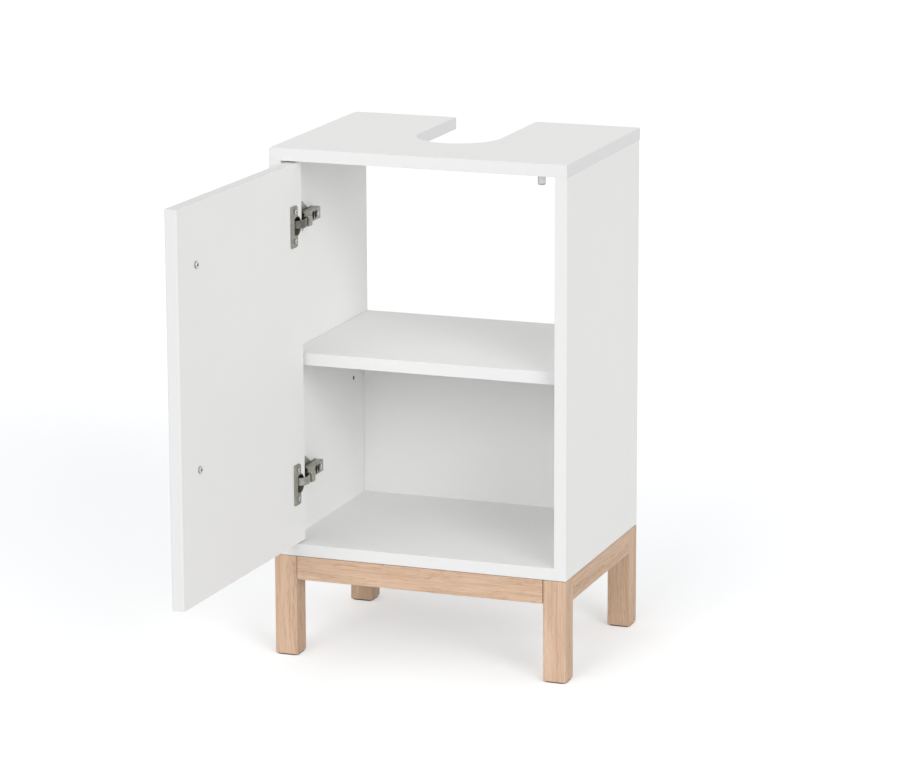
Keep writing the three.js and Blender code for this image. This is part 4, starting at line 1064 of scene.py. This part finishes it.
def along_strap(z, hinge_shade):
    """The strap's broad face gets more painted shade than its rounded long edges."""
    def share(point):
        return 3.6 * hinge_shade if abs(point.z - z) < STRAP_FLAT else hinge_shade
    return share


def inside_cup(z, hinge_shade):
    """Painted shade inside the cup, most at the top and along the flange; the flange gets more painted shade
    than its slope.
    """
    def share(point):
        off = math.hypot(point.x - CUP_CENTRE, point.z - z)
        if off < 12.4 and 4.5 < point.y < FLANGE_TOP - 0.2:
            return 1.0 if point.z > z - 4 or point.x > MOUTH_END - 2 else 0.3
        return hinge_shade + (0.17 if point.x < 50 else 0.0)
    return share


# Each pressed part of a hinge: its form, what draws it, its body, its grain, and what shades it
PRESSED = {
    "plate": ("pressed", mounting_plate, "carcass", "y", on_saddle),
    "arm": ("pressed", hinge_arm, "carcass", "y", under_arm),
    "link": ("strap", hinge_link, "hinge_links", "y", along_strap),
    "cup": ("pressed", hinge_cup, "door", "z", inside_cup),
}


def hinges():
    """Both hinges: their pressed parts, the two rivets that they turn on, and their screws."""
    for place, (level, (z, hinge_shade, slot_turn)) in enumerate(HINGES.items()):
        hinge = f"{level}_hinge"
        for step, (part, (form, drawn, body, grain, shaded)) in enumerate(PRESSED.items()):
            # Each pressed part gets painted shade, and the upper hinge gets more of it
            name, number, shade = f"{hinge}_{part}", 70 + 2 * step + place, shaded(z, hinge_shade)
            add_piece(f"{name}_{form}", drawn(z), body, "nickel_steel", name, grain, number, shade=shade)
        arm_rivet = stood(rivet(NOSE_HALF), (*ARM_PIVOT, z - NOSE_HALF), (0, 0, 1))
        add_piece(f"{hinge}_arm_rivet", arm_rivet, "carcass", "pin_steel", f"{hinge}_arm_pin", "z", 78)
        cup_rivet = stood(rivet(CUP_RIVET_HALF), (*CUP_PIVOT, z - CUP_RIVET_HALF), (0, 0, 1))
        add_piece(f"{hinge}_cup_rivet", cup_rivet, "door", "pin_steel", f"{hinge}_cup_pin", "z", 79)
        hinge_screws(hinge, z, slot_turn)


def hinge_screws(hinge, z, slot_turn):
    """The arm's fixing screw, and two screws each for the plate and the cup."""
    seat = (ARM_TOP_REAR + SEAT_GAP, FIXING_Y, z)
    add_screw(f"{hinge}_fixing_screw", "carcass", FIXING_SCREW, seat, (1, 0, 0), "slot", slot_turn, 80)
    for k, way in enumerate((1, -1)):
        seat = (PLATE_TOP + SEAT_GAP, PLATE_SCREW_Y, z + PLATE_SCREW_REACH * way)
        node = f"{hinge}_plate_screw_{k + 1}"
        add_screw(node, "carcass", PLATE_SCREW, seat, (1, 0, 0), "cross", 25 + 40 * k, 81)
        seat = (CUP_SCREW_X, FLANGE_TOP + SEAT_GAP, z + CUP_SCREW_REACH * way)
        node = f"{hinge}_cup_screw_{k + 1}"
        add_screw(node, "door", CUP_SCREW, seat, (0, 1, 0), "cross", 15 + 30 * k, 82)


boards()
oak_base()
grip_bar()
dowels()
shelf_pins()
door_stop()
base_and_grip_screws()
hinges()


# ---------------------------------------------------------------- floor, light and camera

# The floor's colour as the camera sees it, its colour as it lights the cabinet, and the glow that makes
# it white where it is seen
FLOOR_SEEN = (0.925, 0.937, 0.95, 1)
FLOOR_LIT = (0.72, 0.72, 0.72, 1)
FLOOR_GLOW = 0.29
FLOOR_REACH = 40
# The air's strength as a light; it is 1, which is white, where it is seen.
AIR_LIGHT = 0.56


def seen(tree):
    """1 for the rays of the camera, of glossy surfaces and of clear ones, and 0 for those that carry light."""
    path = tree.nodes.new("ShaderNodeLightPath")
    share = math_node(tree, "ADD", path.outputs["Is Camera Ray"], path.outputs["Is Glossy Ray"], True)
    return math_node(tree, "ADD", share, path.outputs["Is Transmission Ray"], True)


def floor_material():
    material = bpy.data.materials.new("studio_white")
    material.use_nodes = True
    tree = material.node_tree
    tree.nodes.remove(tree.nodes["Principled BSDF"])
    path = tree.nodes.new("ShaderNodeLightPath")
    tone = blended(tree, path.outputs["Is Camera Ray"], FLOOR_LIT, FLOOR_SEEN)
    matt = add_node(tree, "ShaderNodeBsdfDiffuse", {"Color": tone})
    strength = math_node(tree, "MULTIPLY", seen(tree), FLOOR_GLOW)
    glow = add_node(tree, "ShaderNodeEmission", {"Strength": strength})
    both = add_node(tree, "ShaderNodeAddShader", {0: matt.outputs[0], 1: glow.outputs[0]})
    tree.links.new(both.outputs[0], tree.nodes["Material Output"].inputs["Surface"])
    return material


def studio_floor():
    shape = bmesh.new()
    corners = ((-1, -1), (1, -1), (1, 1), (-1, 1))
    shape.faces.new([shape.verts.new((x * FLOOR_REACH, y * FLOOR_REACH, 0)) for x, y in corners])
    mesh = bpy.data.meshes.new("studio_floor")
    shape.to_mesh(mesh)
    shape.free()
    mesh.materials.append(floor_material())
    floor = bpy.data.objects.new("studio_floor", mesh)
    bpy.context.scene.collection.objects.link(floor)


def studio_world():
    world = bpy.data.worlds.new("studio_air")
    bpy.context.scene.world = world
    world.use_nodes = True
    tree = world.node_tree
    air = tree.nodes["Background"]
    air.inputs["Color"].default_value = (1, 1, 1, 1)
    tree.links.new(ranged(tree, seen(tree), 0, 1, AIR_LIGHT, 1.0), air.inputs["Strength"])


def softbox(name, azimuth, elevation, spread, strength):
    """A large far light: where it stands in degrees from above and from the side, how wide, how strong."""
    lamp = bpy.data.lights.new(name, "SUN")
    lamp.angle = math.radians(spread)
    lamp.energy = strength
    holder = bpy.data.objects.new(name, lamp)
    side, rise = math.radians(azimuth), math.radians(elevation)
    toward = Vector((math.sin(side) * math.cos(rise), -math.cos(side) * math.cos(rise), math.sin(rise)))
    holder.rotation_euler = (-toward).to_track_quat("-Z", "Y").to_euler()
    bpy.context.scene.collection.objects.link(holder)


# The camera of the photograph, solved from the cabinet's edges: its place in the cabinet's frame,
# its turns in degrees, and its focal length in pixels of a picture 900 wide
CAMERA_PLACE = (1927.689, -4550.82, 1524.462)
CAMERA_YAW, CAMERA_PITCH, CAMERA_ROLL = 20.2970, 13.2414, -0.2188
CAMERA_FOCAL = 3932.9115
PICTURE_WIDTH = 900
SENSOR = 36
VIEW_REACH = 200


def camera():
    yaw, pitch, roll = (math.radians(turn) for turn in (CAMERA_YAW, CAMERA_PITCH, CAMERA_ROLL))
    ahead = Vector((-math.sin(yaw) * math.cos(pitch), math.cos(yaw) * math.cos(pitch), -math.sin(pitch)))
    right = Vector((math.cos(yaw), math.sin(yaw), 0))
    up = right.cross(ahead)
    across = right * math.cos(roll) + up * math.sin(roll)
    over = up * math.cos(roll) - right * math.sin(roll)
    data = bpy.data.cameras.new("photo_camera")
    data.sensor_width = SENSOR
    data.lens = SENSOR * CAMERA_FOCAL / PICTURE_WIDTH
    data.clip_end = VIEW_REACH
    holder = bpy.data.objects.new("photo_camera", data)
    axes = Matrix((across, over, -ahead)).transposed().to_4x4()
    holder.matrix_world = Matrix.Translation(PLACES["carcass"] @ Vector(CAMERA_PLACE)) @ axes
    bpy.context.scene.collection.objects.link(holder)
    bpy.context.scene.camera = holder


studio_floor()
studio_world()
softbox("left_softbox", -20, 52, 30, 0.28)
softbox("front_softbox", -6, 21, 25, 0.56)
softbox("right_softbox", 46, 20, 30, 1.15)
camera()

view = bpy.context.scene.view_settings
view.view_transform = "Standard"
